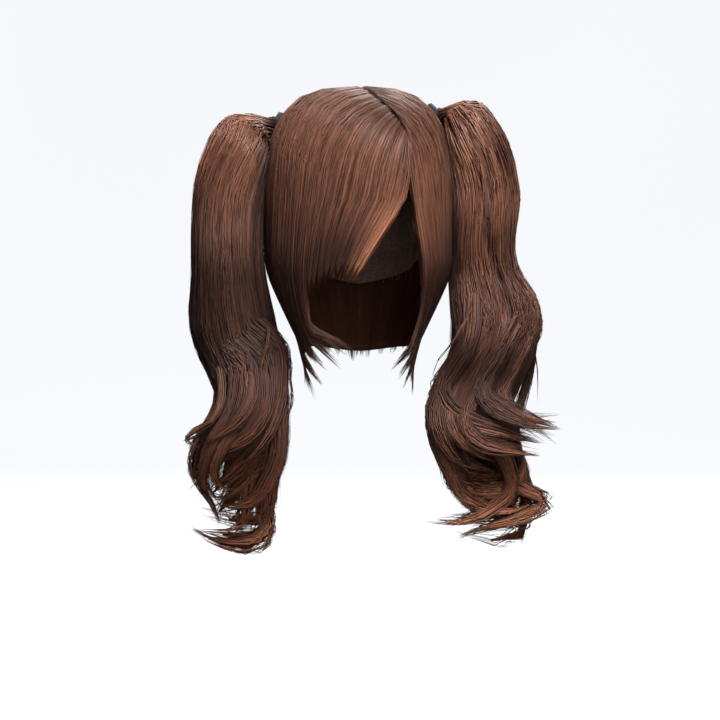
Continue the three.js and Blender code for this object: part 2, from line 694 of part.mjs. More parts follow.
// One tail: core and locks fused, then cut clear of the hair and of its clip
function pigtail(name) {
  const side = name === 'left' ? -1 : 1;
  const place = clip_places[name];
  const body = tail_bodies[name];
  const crest = hair_point(place.turn * radians, place.top, 1, piece_gap);
  const top = crest.z + place.rise * tail_length;
  let solid = to_manifold(core_mesh(side, top, body));
  for (const lock of tail_locks[name]) {
    const low = clamp((1 - Math.cos(lock.around * radians)) / 2, 0, 1);
    const level = mix(place.top + root_drop, place.bottom, low);
    const root = hair_point(place.turn * radians, level, 1, clip_depth + lock_depth * 0.2);
    root.y -= Math.sin(lock.around * radians) * clip_width / 2;
    const path = lock_path(side, top, body, lock, root);
    const start_normal = new THREE.Vector3(side * 0.3, 0, 1);
    solid = solid.add(to_manifold(lock_mesh(path, lock.size, start_normal)));
  }
  solid = solid.subtract(to_manifold(clear_form(piece_gap + facet_room * crown_height)));
  solid = solid.subtract(to_manifold(clip_bar(place, piece_gap)));
  return fill_pockets(from_manifold(solid));
}

function material(colour, roughness) {
  return new THREE.MeshStandardMaterial({ color: colour, roughness, metalness: 0 });
}

function named_mesh(name, mesh, colour, roughness) {
  const made = new THREE.Mesh(to_geometry(mesh), material(colour, roughness));
  made.name = name;
  return made;
}

const wig = new THREE.Group();
wig.add(named_mesh('wig_cap', wig_cap(), cap_colour, 0.9));
for (const [name, panel] of Object.entries(hair_panels)) {
  wig.add(named_mesh(name, hair_panel(panel), hair_colour, 0.4));
}
wig.add(named_mesh('clip_left', clip_bar(clip_places.left, 0), clip_colour, 0.3));
wig.add(named_mesh('clip_right', clip_bar(clip_places.right, 0), clip_colour, 0.3));
wig.add(named_mesh('pigtail_left', pigtail('left'), hair_colour, 0.4));
wig.add(named_mesh('pigtail_right', pigtail('right'), hair_colour, 0.4));

export default wig;
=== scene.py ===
import math

import bpy
import numpy as np
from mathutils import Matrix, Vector


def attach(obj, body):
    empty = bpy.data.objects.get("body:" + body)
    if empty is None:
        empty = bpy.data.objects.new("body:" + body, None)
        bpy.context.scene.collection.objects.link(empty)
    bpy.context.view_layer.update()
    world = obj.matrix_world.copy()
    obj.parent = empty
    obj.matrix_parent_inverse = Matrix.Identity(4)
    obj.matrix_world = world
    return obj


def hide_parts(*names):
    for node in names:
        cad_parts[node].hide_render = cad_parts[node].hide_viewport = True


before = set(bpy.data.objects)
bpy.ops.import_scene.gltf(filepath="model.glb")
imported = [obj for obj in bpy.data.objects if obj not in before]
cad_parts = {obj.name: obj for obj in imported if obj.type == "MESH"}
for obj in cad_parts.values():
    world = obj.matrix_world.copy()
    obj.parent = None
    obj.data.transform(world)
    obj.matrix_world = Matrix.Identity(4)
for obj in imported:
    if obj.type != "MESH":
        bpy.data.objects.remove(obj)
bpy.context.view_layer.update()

# Pigtail wig. Forms are reckoned in millimetres in the row frame: the origin is the inside top
# of the cap, +Z is up, the face opening looks along -Y, and +X is the right of the front view.

bpy.ops.object.select_all(action="DESELECT")

metre = 0.001                     # one millimetre in metres
radians = math.pi / 180
quarter = math.pi / 2

# Named sizes, as in the part's source
cap_breadth = 154
cap_length = 196
crown_height = 97
cap_wall = 1.5
piece_gap = 0.4
side_hair_depth = 8
front_hair_depth = 9
top_hair_depth = 9.5
fall_length = 97
facet_room = 0.013
parting_width = 3
tail_length = 405
tail_width = 84
tail_depth = 84
lock_width = 30
lock_depth = 18
clip_width = 14
clip_depth = 4
cap_roundness = 2.3
hair_roundness = 2.75
front_tuck = 0.08
side_tuck = 0.43
tuck_from = 1.62
tuck_span = 0.83
groove = 0.3
root_drop = 0.1

# Sizes of single strands of hair
strand_width = 0.95
strand_crest = 0.11
tail_strand_width = 1.1
body_bow = 34                     # radius round which locks lie on a tail's body
furrow_width = 2.4
furrow_depth = 3

# Sizes of the claw clips' hard details
tooth_length = 7.5
tooth_root = 1.7                  # radius
tooth_tip = 0.7                   # radius
pin_radius = 2.2
pin_length = 11.5
clip_edge = 0.5

# The stage: a round floor that rises into a wall
floor_drop = 455
floor_radius = 2600
floor_rise = 2400

# View of the photo: size of a pixel at the head, pixels across, and the camera's place
pixel_size = 0.92
picture_pixels = 720
view_right = 0.92
view_distance = 2200
view_height = -240.12

# Flow lines in order round the head: place of the root along the loop of the parting, then the
# turn in degrees at each station share, then the level of the end
station_shares = [0, 0.25, 0.5, 0.75, 0.9, 1]
flow_roots = [0.0, 0.09, 0.17, 0.27, 0.36, 0.43, 0.465, 0.5, 0.535, 0.6, 0.72, 0.86, 1.0]
flow_turns = [
    [23, -1, -23, -38, -58, -86, -124, -180, -236, -274, -296, -312, -324.5],
    [5, -12, -30.5, -44, -63, -90, -128, -180, -232, -270, -294, -306, -318.5],
    [-11, -19, -33, -45, -66, -92, -130, -180, -230, -268, -290, -304, -316],
    [-15, -22, -28, -35, -50, -92, -131, -180, -229, -268, -292, -312, -325],
    [-16, -22, 0, -16, -28, -90, -132, -180, -228, -270, -306, -328, -341],
]
flow_lows = [2.45, 2.45, 2.43, 2.52, 2.82, 2.5, 2.46, 2.5, 2.46, 2.5, 2.74, 2.68, 2.53]

# The parting on the flattened crown
parting_rights = [0.405, 0.137, 0.02, -0.05]
parting_aheads = [0.6, 0.4, 0.16, -0.22]

# Hair panels: first and last flow line, locks across, share of the line where the hair ends,
# how far the layer underneath, dark with painted shade, goes, how much the strands gather into
# tips, how uneven their ends are, how far they reach, how much painted shade darkens them towards
# their ends, and the share of the line where that starts
panel_columns = ("first", "last", "locks", "ends", "shell", "gather", "uneven", "reach", "droop",
                 "droop_from")
hair_panels = {
    "fringe": (0, 2, 5, [0.575, 0.635, 8 / 11], 0.9, 0.4, 0.08, 1.05, 0.95, 0.38),
    "side_hair_left": (2, 5, 4, [1, 1, 1, 1], 0.88, 0.35, 0.15, 1.02, 0.85, 0.26),
    "back_hair": (5, 9, 7, [1, 1, 1, 1, 1], 0.95, 0.25, 0.05, 1.0, 0.4, 0.5),
    "side_hair_right": (9, 12, 4, [1, 1, 1, 1], 0.88, 0.35, 0.15, 1.03, 1.0, 0.22),
}
hair_panels = {name: dict(zip(panel_columns, row)) for name, row in hair_panels.items()}

# Claw clips: turn round the head in degrees, levels of the top and bottom on the head, rise of
# the tail's top over the clip as a share of the tail's length, and the share of root_drop that
# the tail's hair starts under the clip's top
clip_places = {
    "left": {"turn": -94, "top": 0.52, "bottom": 0.95, "rise": 0.0, "drop": 0.9},
    "right": {"turn": 92, "top": 0.44, "bottom": 0.95, "rise": 0.016, "drop": 0.9},
}

# Body of each tail: down, out, fore, half width, half depth, as shares of its sizes
tail_bodies = {
    "left": [
        (0.012, 0.157, 0.1, 0.19, 0.22),
        (0.034, 0.179, 0.11, 0.336, 0.34),
        (0.068, 0.217, 0.12, 0.374, 0.42),
        (0.136, 0.309, 0.14, 0.412, 0.47),
        (0.203, 0.358, 0.16, 0.407, 0.48),
        (0.293, 0.374, 0.18, 0.391, 0.46),
        (0.383, 0.352, 0.21, 0.412, 0.46),
        (0.451, 0.336, 0.25, 0.472, 0.48),
        (0.518, 0.282, 0.31, 0.48, 0.48),
        (0.588, 0.157, 0.37, 0.412, 0.44),
        (0.653, 0.108, 0.42, 0.36, 0.4),
        (0.725, 0.168, 0.45, 0.423, 0.4),
        (0.788, 0.22, 0.46, 0.46, 0.4),
        (0.856, 0.276, 0.46, 0.391, 0.38),
    ],
    "right": [
        (0.012, 0.02, 0.02, 0.25, 0.22),
        (0.034, 0.05, 0.03, 0.337, 0.34),
        (0.06, 0.138, 0.03, 0.348, 0.4),
        (0.117, 0.247, 0.04, 0.37, 0.45),
        (0.184, 0.301, 0.06, 0.392, 0.47),
        (0.229, 0.323, 0.08, 0.392, 0.47),
        (0.32, 0.296, 0.12, 0.354, 0.46),
        (0.41, 0.318, 0.17, 0.397, 0.46),
        (0.455, 0.416, 0.2, 0.48, 0.47),
        (0.511, 0.448, 0.25, 0.5, 0.47),
        (0.557, 0.439, 0.3, 0.449, 0.45),
        (0.602, 0.307, 0.35, 0.405, 0.43),
        (0.647, 0.176, 0.4, 0.441, 0.42),
        (0.692, 0.133, 0.43, 0.43, 0.41),
        (0.737, 0.187, 0.45, 0.44, 0.4),
        (0.793, 0.285, 0.46, 0.45, 0.4),
        (0.854, 0.388, 0.46, 0.4, 0.38),
    ],
}

# Locks of each tail: degrees round the body, share where it leaves the body, then out and down
# of its bend, sweep and tip, then the fore of its tip and its size
tail_locks = {
    "left": [
        (0, 0.653, 0.56, 0.757, 0.63, 0.82, 0.46, 0.93, 0.5, 0.9),
        (30, 0.653, 0.31, 0.711, 0.58, 0.76, 0.75, 0.815, 0.8, 0.95),
        (62, 0.588, -0.02, 0.691, 0.31, 0.755, 0.69, 0.84, 0.9, 1),
        (95, 0.588, -0.16, 0.673, 0.06, 0.765, 0.58, 0.86, 0.85, 1),
        (128, 0.653, -0.2, 0.75, -0.04, 0.85, 0.55, 0.9, 0.7, 1),
        (158, 0.725, -0.04, 0.86, -0.06, 0.95, 0.8, 0.94, 0.5, 0.85),
        (195, 0.383, -0.18, 0.53, -0.16, 0.6, 0.05, 0.7, 0.0, 0.8),
        (228, 0.725, 0.02, 0.88, -0.08, 0.965, 0.08, 1, 0.3, 0.7),
        (268, 0.788, 0.3, 0.86, 0.5, 0.9, 0.22, 0.95, 0.2, 1),
        (312, 0.588, 0.5, 0.711, 0.69, 0.745, 0.56, 0.8, 0.2, 0.7),
    ],
    "right": [
        (0, 0.647, 0.5, 0.7, 0.74, 0.73, 1.1, 0.745, 0.4, 0.8),
        (35, 0.602, 0.26, 0.68, 0.54, 0.73, 1.03, 0.76, 0.8, 0.95),
        (68, 0.511, -0.2, 0.655, 0.06, 0.73, 0.86, 0.79, 0.95, 1),
        (100, 0.647, -0.24, 0.73, -0.06, 0.81, 0.42, 0.84, 0.9, 1),
        (132, 0.737, -0.04, 0.86, 0.45, 0.9, 0.76, 0.81, 0.7, 1),
        (165, 0.692, -0.04, 0.84, 0.15, 0.92, 0.65, 0.94, 0.5, 1),
        (205, 0.41, 0.0, 0.5, 0.03, 0.6, 0.25, 0.7, 0.1, 0.8),
        (250, 0.793, 0.3, 0.86, 0.4, 0.92, 0.1, 0.96, 0.3, 1),
        (290, 0.793, 0.68, 0.86, 0.36, 0.895, -0.11, 0.868, 0.6, 0.85),
        (325, 0.793, 0.8, 0.88, 0.8, 0.935, -0.04, 0.99, 0.55, 0.75),
        (345, 0.793, 0.62, 0.91, 0.2, 0.95, -0.32, 0.945, 0.65, 0.75),
    ],
}

# Locks that show at the front of each tail: degrees round the body, share where it leaves the
# body, its size, and its course after that as out, down and fore
front_locks = {
    "left": [
        (118, 0.47, 0.85, [
            (-0.24, 0.527, 0.72), (-0.274, 0.595, 0.78), (-0.254, 0.648, 0.82), (-0.171, 0.7, 0.86),
            (-0.034, 0.737, 0.88), (0.168, 0.779, 0.86), (0.426, 0.809, 0.8)]),
        (96, 0.5, 0.85, [
            (-0.084, 0.56, 0.8), (-0.118, 0.63, 0.88), (-0.067, 0.682, 0.92), (0.122, 0.724, 0.94),
            (0.336, 0.753, 0.9), (0.624, 0.797, 0.85)]),
        (76, 0.5, 0.8, [
            (0.107, 0.564, 0.82), (0.071, 0.63, 0.9), (0.164, 0.682, 0.95), (0.364, 0.717, 0.95),
            (0.632, 0.748, 0.9)]),
        (8, 0.5, 0.8, [
            (0.514, 0.542, 0.4), (0.433, 0.622, 0.5), (0.462, 0.669, 0.55), (0.609, 0.726, 0.6),
            (0.704, 0.77, 0.62), (0.725, 0.804, 0.62), (0.64, 0.844, 0.62), (0.47, 0.901, 0.6),
            (0.448, 0.933, 0.6)]),
        (50, 0.55, 0.4, [
            (0.408, 0.615, 0.75), (0.425, 0.665, 0.82), (0.539, 0.7, 0.86), (0.698, 0.713, 0.86),
            (0.784, 0.731, 0.84), (0.742, 0.749, 0.84), (0.624, 0.751, 0.86)]),
        (138, 0.5, 1.0, [
            (-0.184, 0.56, 0.62), (-0.217, 0.626, 0.66), (-0.272, 0.703, 0.72), (-0.263, 0.763, 0.75),
            (-0.179, 0.813, 0.78), (-0.02, 0.857, 0.8), (0.192, 0.883, 0.8), (0.503, 0.88, 0.75)]),
        (160, 0.55, 0.8, [
            (-0.201, 0.627, 0.5), (-0.255, 0.716, 0.5), (-0.158, 0.805, 0.5), (-0.008, 0.862, 0.52),
            (-0.085, 0.895, 0.55), (-0.14, 0.93, 0.6), (-0.013, 0.961, 0.62), (0.234, 0.973, 0.6),
            (0.591, 0.958, 0.55), (0.766, 0.932, 0.5)]),
        (100, 0.55, 0.6, [
            (0.025, 0.63, 0.75), (-0.019, 0.714, 0.78), (0.087, 0.802, 0.78), (0.132, 0.869, 0.74),
            (0.154, 0.911, 0.72), (0.304, 0.938, 0.7), (0.594, 0.941, 0.66)]),
        (172, 0.58, 0.4, [
            (-0.198, 0.649, 0.4), (-0.273, 0.739, 0.4), (-0.241, 0.828, 0.42), (-0.156, 0.895, 0.45),
            (-0.136, 0.948, 0.48), (-0.158, 0.972, 0.5), (0.035, 0.995, 0.5)]),
        (35, 0.52, 0.7, [
            (0.301, 0.555, 0.75), (0.244, 0.615, 0.82), (0.295, 0.674, 0.86), (0.464, 0.731, 0.88),
            (0.571, 0.779, 0.86), (0.605, 0.833, 0.82), (0.49, 0.864, 0.8), (0.257, 0.864, 0.78)]),
        (66, 0.52, 0.8, [
            (0.181, 0.564, 0.82), (0.146, 0.63, 0.88), (0.23, 0.691, 0.9), (0.399, 0.748, 0.9),
            (0.506, 0.801, 0.88), (0.402, 0.846, 0.84), (0.15, 0.842, 0.8)]),
    ],
    "right": [
        (142, 0.42, 0.85, [
            (0.307, 0.51, 0.65), (0.164, 0.566, 0.75), (-0.031, 0.603, 0.82), (-0.191, 0.629, 0.86),
            (-0.255, 0.66, 0.88), (-0.203, 0.691, 0.9), (-0.045, 0.717, 0.92), (0.187, 0.737, 0.92),
            (0.486, 0.754, 0.88), (0.883, 0.777, 0.8)]),
        (58, 0.48, 0.8, [
            (0.48, 0.561, 0.8), (0.327, 0.616, 0.88), (0.25, 0.656, 0.94), (0.322, 0.688, 0.97),
            (0.501, 0.71, 0.98), (0.756, 0.734, 0.95), (1.091, 0.746, 0.85)]),
        (30, 0.5, 0.6, [
            (0.713, 0.572, 0.65), (0.557, 0.634, 0.75), (0.468, 0.669, 0.82), (0.55, 0.7, 0.86),
            (0.783, 0.724, 0.86), (1.043, 0.731, 0.8)]),
        (122, 0.44, 0.85, [
            (0.129, 0.55, 0.8), (-0.096, 0.612, 0.86), (-0.244, 0.66, 0.86), (-0.308, 0.708, 0.86),
            (-0.256, 0.761, 0.9), (-0.119, 0.802, 0.92), (0.071, 0.824, 0.92), (0.295, 0.831, 0.88)]),
        (100, 0.48, 0.75, [
            (0.257, 0.572, 0.8), (0.042, 0.638, 0.86), (-0.129, 0.695, 0.9), (-0.13, 0.734, 0.94),
            (0.017, 0.771, 0.96), (0.207, 0.802, 0.94), (0.41, 0.82, 0.9)]),
        (160, 0.46, 0.95, [
            (0.096, 0.576, 0.6), (-0.162, 0.647, 0.62), (-0.313, 0.709, 0.66), (-0.292, 0.767, 0.7),
            (-0.167, 0.824, 0.76), (-0.019, 0.858, 0.8), (0.191, 0.88, 0.84), (0.446, 0.882, 0.84),
            (0.639, 0.863, 0.8), (0.727, 0.828, 0.76), (0.707, 0.802, 0.74)]),
        (125, 0.52, 0.75, [
            (0.049, 0.621, 0.7), (-0.133, 0.694, 0.72), (-0.177, 0.766, 0.74), (-0.103, 0.837, 0.78),
            (0.011, 0.887, 0.84), (0.19, 0.911, 0.86), (0.381, 0.926, 0.86), (0.627, 0.926, 0.82),
            (0.768, 0.914, 0.78)]),
        (20, 0.52, 0.7, [
            (0.766, 0.59, 0.5), (0.58, 0.665, 0.55), (0.46, 0.738, 0.6), (0.488, 0.816, 0.66),
            (0.591, 0.868, 0.72), (0.771, 0.886, 0.74), (0.943, 0.901, 0.72), (0.932, 0.919, 0.72),
            (0.771, 0.936, 0.74), (0.525, 0.952, 0.76), (0.238, 0.965, 0.76), (-0.059, 0.985, 0.72)]),
        (60, 0.52, 0.7, [
            (0.536, 0.607, 0.75), (0.384, 0.682, 0.8), (0.403, 0.77, 0.84), (0.552, 0.836, 0.84),
            (0.573, 0.88, 0.84), (0.413, 0.915, 0.86), (0.211, 0.941, 0.86), (-0.063, 0.953, 0.84),
            (-0.348, 0.942, 0.8)]),
        (345, 0.55, 0.7, [
            (0.809, 0.621, 0.2), (0.672, 0.706, 0.3), (0.633, 0.784, 0.4), (0.734, 0.839, 0.5),
            (0.675, 0.874, 0.58), (0.436, 0.891, 0.64), (0.178, 0.886, 0.68), (-0.132, 0.862, 0.68)]),
        (80, 0.5, 0.8, [
            (0.403, 0.577, 0.84), (0.188, 0.647, 0.9), (0.049, 0.708, 0.94), (0.08, 0.752, 0.96),
            (0.28, 0.782, 0.96), (0.568, 0.796, 0.92), (0.87, 0.805, 0.84)]),
    ],
}

# Waves of the tails towards the front: share down of the first bulge, length of one wave and
# height, as shares of the tail's length and depth
tail_waves = {"left": (0.34, 0.38, 0.11), "right": (0.52, 0.25, 0.085)}

# Painted shade in the hollows of the waves: millimetres below the origin, share of painted shade
tail_shade_bands = {
    "left": [(60, 0.0), (120, 0.6), (165, 1.0), (205, 1.0), (235, 0.95), (265, 0.75), (300, 0.65),
             (322, 0.3), (352, 0.1), (372, 0.0), (395, 0.0)],
    "right": [(90, 0.0), (140, 0.3), (180, 0.45), (212, 0.5), (235, 1.0), (265, 1.0), (284, 0.8),
              (305, 0.65), (320, 0.6), (338, 0.2), (352, 0.0), (375, 0.0), (395, 0.0)],
}

# Side of each tail that lies in the shade of the head: millimetres below the origin and out
shaded_sides = {
    "left": [(5, 64), (21, 75), (56, 86), (88, 89), (230, 89)],
    "right": [(5, 57), (30, 67), (75, 80), (93, 83), (230, 86)],
}

# Thin stray locks, as front_locks
stray_locks = {
    "left": [
        (150, 0.46, 0.12, [
            (-0.153, 0.506, 0.85), (-0.08, 0.548, 0.9), (-0.013, 0.589, 0.92), (0.06, 0.63, 0.9)]),
        (178, 0.5, 0.1, [
            (-0.3, 0.56, 0.5), (-0.36, 0.64, 0.5), (-0.33, 0.72, 0.5), (-0.3, 0.79, 0.5)]),
    ],
    "right": [
        (130, 0.45, 0.12, [
            (0.15, 0.48, 0.8), (0.009, 0.527, 0.9), (-0.12, 0.56, 0.95), (-0.283, 0.594, 0.95),
            (-0.36, 0.64, 0.9)]),
        (10, 0.5, 0.1, [
            (0.8, 0.54, 0.4), (0.87, 0.6, 0.4), (0.885, 0.66, 0.4), (0.87, 0.7, 0.4)]),
    ],
}

# Split down the front of the right tail, with painted shade in its furrow, as out and down
tail_split = [(0.1, 0.05), (0.16, 0.079), (0.279, 0.14), (0.333, 0.205), (0.3, 0.31), (0.42, 0.381),
              (0.516, 0.435), (0.592, 0.482), (0.538, 0.518)]


# Number helpers

def mix(low, high, share):
    return low + (high - low) * share


def ease(value, low, high):
    share = np.clip((value - low) / (high - low), 0, 1)
    return share * share * (3 - 2 * share)


def hermite(start, end, slope_in, slope_out, s):
    s2 = s * s
    s3 = s2 * s
    return (2 * s3 - 3 * s2 + 1) * start + (s3 - 2 * s2 + s) * slope_in \
        + (3 * s2 - 2 * s3) * end + (s3 - s2) * slope_out


def along_list(values, place):
    """Smooth value through a list of values at whole steps."""
    values = np.asarray(values, float)
    place = np.asarray(place, float)
    last = len(values) - 1
    index = np.clip(np.floor(place), 0, last - 1).astype(int)
    before, start, end, after = [values[np.clip(index + k, 0, last)] for k in (-1, 0, 1, 2)]
    return hermite(start, end, (end - before) / 2, (after - start) / 2, place - index)


def along_places(places, values, place):
    """Smooth value through values at uneven places."""
    last = len(places) - 1
    slopes = []
    for k in range(last + 1):
        low = max(k - 1, 0)
        high = min(k + 1, last)
        slopes.append((values[high] - values[low]) / (places[high] - places[low]))
    result = 0
    for k in range(last):
        span = places[k + 1] - places[k]
        s = (place - places[k]) / span
        value = hermite(values[k], values[k + 1], slopes[k] * span, slopes[k + 1] * span, s)
        result = value if k == 0 else np.where(place > places[k], value, result)
    return result


def unit(vectors):
    return vectors / np.maximum(np.linalg.norm(vectors, axis=-1, keepdims=True), 1e-9)


def ripple(place, seed, waves):
    """Smooth made-up unevenness, about -1 to 1, along a number."""
    rng = np.random.default_rng(seed)
    total = 0
    for wave in waves:
        total = total + np.sin(place * wave * rng.uniform(0.85, 1.15) + rng.uniform(0, 6.28))
    return total / len(waves)


# Form of the dressed hair, as in the part's source

def tuck_at(turn, level):
    away = np.abs(np.arctan2(np.sin(turn), np.cos(turn))) / radians
    full = mix(front_tuck, side_tuck, ease(away, 25, 80))
    share = (level - tuck_from) / tuck_span
    return full * np.clip((share + np.sqrt(share * share + 0.012)) / 2, 0, 1.15)


def hair_point(turn, level, out, grow=0.0):
    """Point of the dressed form: out 0 is just off the cap and 1 is the outside of the hair."""
    turn, level, out = np.broadcast_arrays(
        np.asarray(turn, float), np.asarray(level, float), np.asarray(out, float))
    power = 2 / mix(cap_roundness, hair_roundness, out)
    inner = cap_wall + piece_gap + facet_room * crown_height + grow
    breadth = cap_breadth / 2 + inner + out * side_hair_depth
    length = cap_length / 2 + inner + out * front_hair_depth
    height = crown_height + inner + out * top_hair_depth
    rise = np.clip(level, 0.0001, 1) * quarter
    ring = np.sin(rise) ** power
    drawn = np.where(level > 1, 1 - tuck_at(turn, level), ring)
    hang = -crown_height - (level - 1) * fall_length
    dome = -crown_height + height * np.maximum(np.cos(rise), 0) ** power
    z = np.where(level > 1, hang, dome)
    return np.stack([breadth * drawn * np.sin(turn), -length * drawn * np.cos(turn), z], -1)


def parting_loop(place):
    """Flattened place of the parting's edge at a share round its loop."""
    side = np.where(place < 0.5, -1.0, 1.0)
    share = 1 - np.abs(2 * place - 1)
    steps = len(parting_rights) - 1
    slip = 0.02
    (right, run_right), (ahead, run_ahead) = [
        (along_list(values, share * steps),
         along_list(values, share * steps + slip) - along_list(values, share * steps - slip))
        for values in (parting_rights, parting_aheads)]
    run = np.hypot(run_right, run_ahead)
    round_end = np.clip((share - 0.86) / 0.14, 0, 1)
    half = (parting_width / crown_height / quarter) / 2 * np.sqrt(1 - round_end * round_end)
    return right - side * (run_ahead / run) * half, ahead + side * (run_right / run) * half


def flow_place(across, share):
    """Turn and level at a place across the flow lines and a share along them."""
    across, share = np.broadcast_arrays(np.asarray(across, float), np.asarray(share, float))
    right, ahead = parting_loop(np.clip(along_list(flow_roots, across), 0, 1))
    root_level = np.hypot(right, ahead)
    low = along_list(flow_lows, across)
    rights = [right]
    aheads = [ahead]
    for k, turns in enumerate(flow_turns):
        turn = along_list(turns, across) * radians
        level = mix(root_level, low, station_shares[k + 1])
        rights.append(level * np.sin(turn))
        aheads.append(level * np.cos(turn))
    right = along_places(station_shares, rights, share)
    ahead = along_places(station_shares, aheads, share)
    return np.arctan2(right, ahead), np.hypot(right, ahead)


# Meshes from arrays

class Bundle:
    """Collects tubes and shells of one piece, each with its own patch of the layout."""

    def __init__(self):
        self.points = []
        self.quads = []
        self.corners = []
        # tone: colour that differs at random, raised where light is painted; deep: painted shade
        self.marks = {"tone": [], "along": [], "deep": []}
        self.slots = []
        self.count = 0

    def add(self, points, quads, corners, tone, along, deep, slot):
        self.points.append(points)
        self.quads.append(quads + self.count)
        self.corners.append(corners)
        for name, values in (("tone", tone), ("along", along), ("deep", deep)):
            self.marks[name].append(np.broadcast_to(values, (len(points),)))
        self.slots.append(np.full(len(quads), slot))
        self.count += len(points)

    def tubes(self, rings, patch, tone, deep, slot):
        """Closed tubes from rings of points, an array of tube, station, corner and axis."""
        many, stations, sides, _ = rings.shape
        index = np.arange(many * stations * sides).reshape(many, stations, sides)
        here, there = index[:, :-1], index[:, 1:]
        turn = lambda a: np.roll(a, -1, axis=2)
        quads = np.stack([here, turn(here), turn(there), there], -1).reshape(-1, 4)
        columns = max(1, int(math.sqrt(many * 6)))
        x0, y0, x1, y1 = patch
        cell = np.array([(x1 - x0) / columns, (y1 - y0) / math.ceil(many / columns)])
        places = np.stack([np.arange(many) % columns, np.arange(many) // columns], -1)
        low = np.array([x0, y0]) + places * cell
        side = np.arange(sides)
        station = np.arange(stations - 1)[:, None]
        spots = []
        for next_side, next_station in ((0, 0), (1, 0), (1, 1), (0, 1)):
            u = 0.06 + 0.88 * (side + next_side) / sides + 0 * station
            v = 0.04 + 0.92 * (station + next_station) / (stations - 1) + 0 * side
            spots.append(np.stack([u, v], -1))
        corners = low[:, None, None, None] + cell * np.stack(spots, -2)
        along = np.broadcast_to(np.linspace(0, 1, stations)[None, :, None], index.shape)
        spread = lambda a: np.broadcast_to(np.asarray(a, float), index.shape).reshape(-1)
        self.add(rings.reshape(-1, 3), quads, corners.reshape(-1, 2), spread(tone),
                 along.reshape(-1), spread(deep), slot)
        self.end_caps(index, low, cell, slot)

    def end_caps(self, index, low, cell, slot):
        """Faces that close both ends of every tube."""
        offset = self.count - index.size
        sides = index.shape[2]
        for ring, turned, edge in ((index[:, 0], True, 0.01), (index[:, -1], False, 0.97)):
            spots = np.array([(0.1, edge), (0.4, edge), (0.4, edge + 0.02), (0.1, edge + 0.02)])
            for j in range(1, sides - 1, 2):
                cap = ring[:, [0, j, j + 1, min(j + 2, sides - 1)]]
                cap = cap[:, [1, 0, 3, 2]] if turned else cap
                self.quads.append(cap + offset)
                self.corners.append((low[:, None] + cell * spots).reshape(-1, 2))
                self.slots.append(np.full(len(cap), slot))

    def shell(self, outside, inside, patch, deep, slot):
        """Closed thin solid between two matching grids of points."""
        columns, rows, _ = outside.shape
        index = np.arange(columns * rows).reshape(columns, rows)
        offset = columns * rows
        x0, y0, x1, y1 = patch
        middle = (x0 + x1) / 2
        quads = []
        corners = []

        def face(ring, layout):
            quads.append(np.stack(ring, -1).reshape(-1, 4))
            corners.append(layout.reshape(-1, 2))

        def grid_layout(low, high, order):
            u = low + (high - low) * (0.01 + 0.98 * np.arange(columns)[:, None] / (columns - 1))
            v = y0 + (y1 - y0) * (0.05 + 0.9 * np.arange(rows) / (rows - 1))
            place = np.stack(np.broadcast_arrays(u, v), -1)
            cell = [place[:-1, :-1], place[:-1, 1:], place[1:, 1:], place[1:, :-1]]
            return np.stack([cell[k] for k in order], -2)

        a, b = index[:-1, :-1], index[:-1, 1:]
        c, d = index[1:, 1:], index[1:, :-1]
        face((a, b, c, d), grid_layout(x0, middle, (0, 1, 2, 3)))
        face((a + offset, d + offset, c + offset, b + offset), grid_layout(middle, x1, (0, 3, 2, 1)))
        speck = np.array([[x0, y0], [x0 + 0.01, y0], [x0 + 0.01, y0 + 0.01], [x0, y0 + 0.01]])
        for rim, turned in ((index[:, 0], 0), (index[:, -1], 1), (index[0], 1), (index[-1], 0)):
            low, high = rim[:-1], rim[1:]
            ring = (low, low + offset, high + offset, high)
            if not turned:
                ring = (low, high, high + offset, low + offset)
            face(ring, np.tile(speck, (len(low), 1)))
        points = np.concatenate([outside.reshape(-1, 3), inside.reshape(-1, 3)])
        along = np.tile(np.broadcast_to(np.linspace(0, 1, rows), (columns, rows)).reshape(-1), 2)
        tone = np.tile(np.repeat(0.5 + 0.3 * ripple(np.arange(columns), 7, [0.9, 2.3]), rows), 2)
        self.add(points, np.concatenate(quads), np.concatenate(corners), tone, along, deep, slot)

    def piece(self, name, finishes):
        """The piece as a mesh object, in metres."""
        points = np.concatenate(self.points) * metre
        quads = np.concatenate(self.quads)
        whole = quads[:, 2] != quads[:, 3]
        faces = [face if full else face[:3] for face, full in zip(quads.tolist(), whole.tolist())]
        kept = np.ones(quads.shape, bool)
        kept[:, 3] = whole
        corners = np.concatenate(self.corners).reshape(-1, 4, 2)[kept]
        mesh = bpy.data.meshes.new(name)
        mesh.from_pydata(points.tolist(), [], faces)
        layout = mesh.uv_layers.new(name="OFBake")
        layout.uv.foreach_set("vector", corners.astype(np.float32).ravel())
        for mark, values in self.marks.items():
            made = mesh.attributes.new(mark, "FLOAT", "POINT")
            made.data.foreach_set("value", np.concatenate(values).astype(np.float32))
        for finish in finishes:
            mesh.materials.append(finish)
        mesh.polygons.foreach_set("material_index", np.concatenate(self.slots).astype(np.int32))
        mesh.polygons.foreach_set("use_smooth", np.ones(len(quads), bool))
        mesh.update()
        made = bpy.data.objects.new(name, mesh)
        bpy.context.scene.collection.objects.link(made)
        return made


def strand_rings(points, up, width, crest):
    """Three-cornered rings round strands: flat below, with a raised crest that looks outward."""
    run = unit(np.gradient(points, axis=1))
    side = unit(np.cross(run, up))
    top = np.cross(side, run)
    stations = points.shape[1]
    s = np.linspace(0, 1, stations)
    body = mix(0.55, 1, ease(s, 0, 0.12)) * np.sqrt(np.maximum(1 - s ** 6, 0.0)) + 0.06
    wide = (np.asarray(width)[:, None] / 2 * body)[:, :, None]
    high = (np.asarray(crest)[:, None] * body)[:, :, None]
    return np.stack([points - side * wide, points + side * wide, points + top * high], 2)


# Shader maths

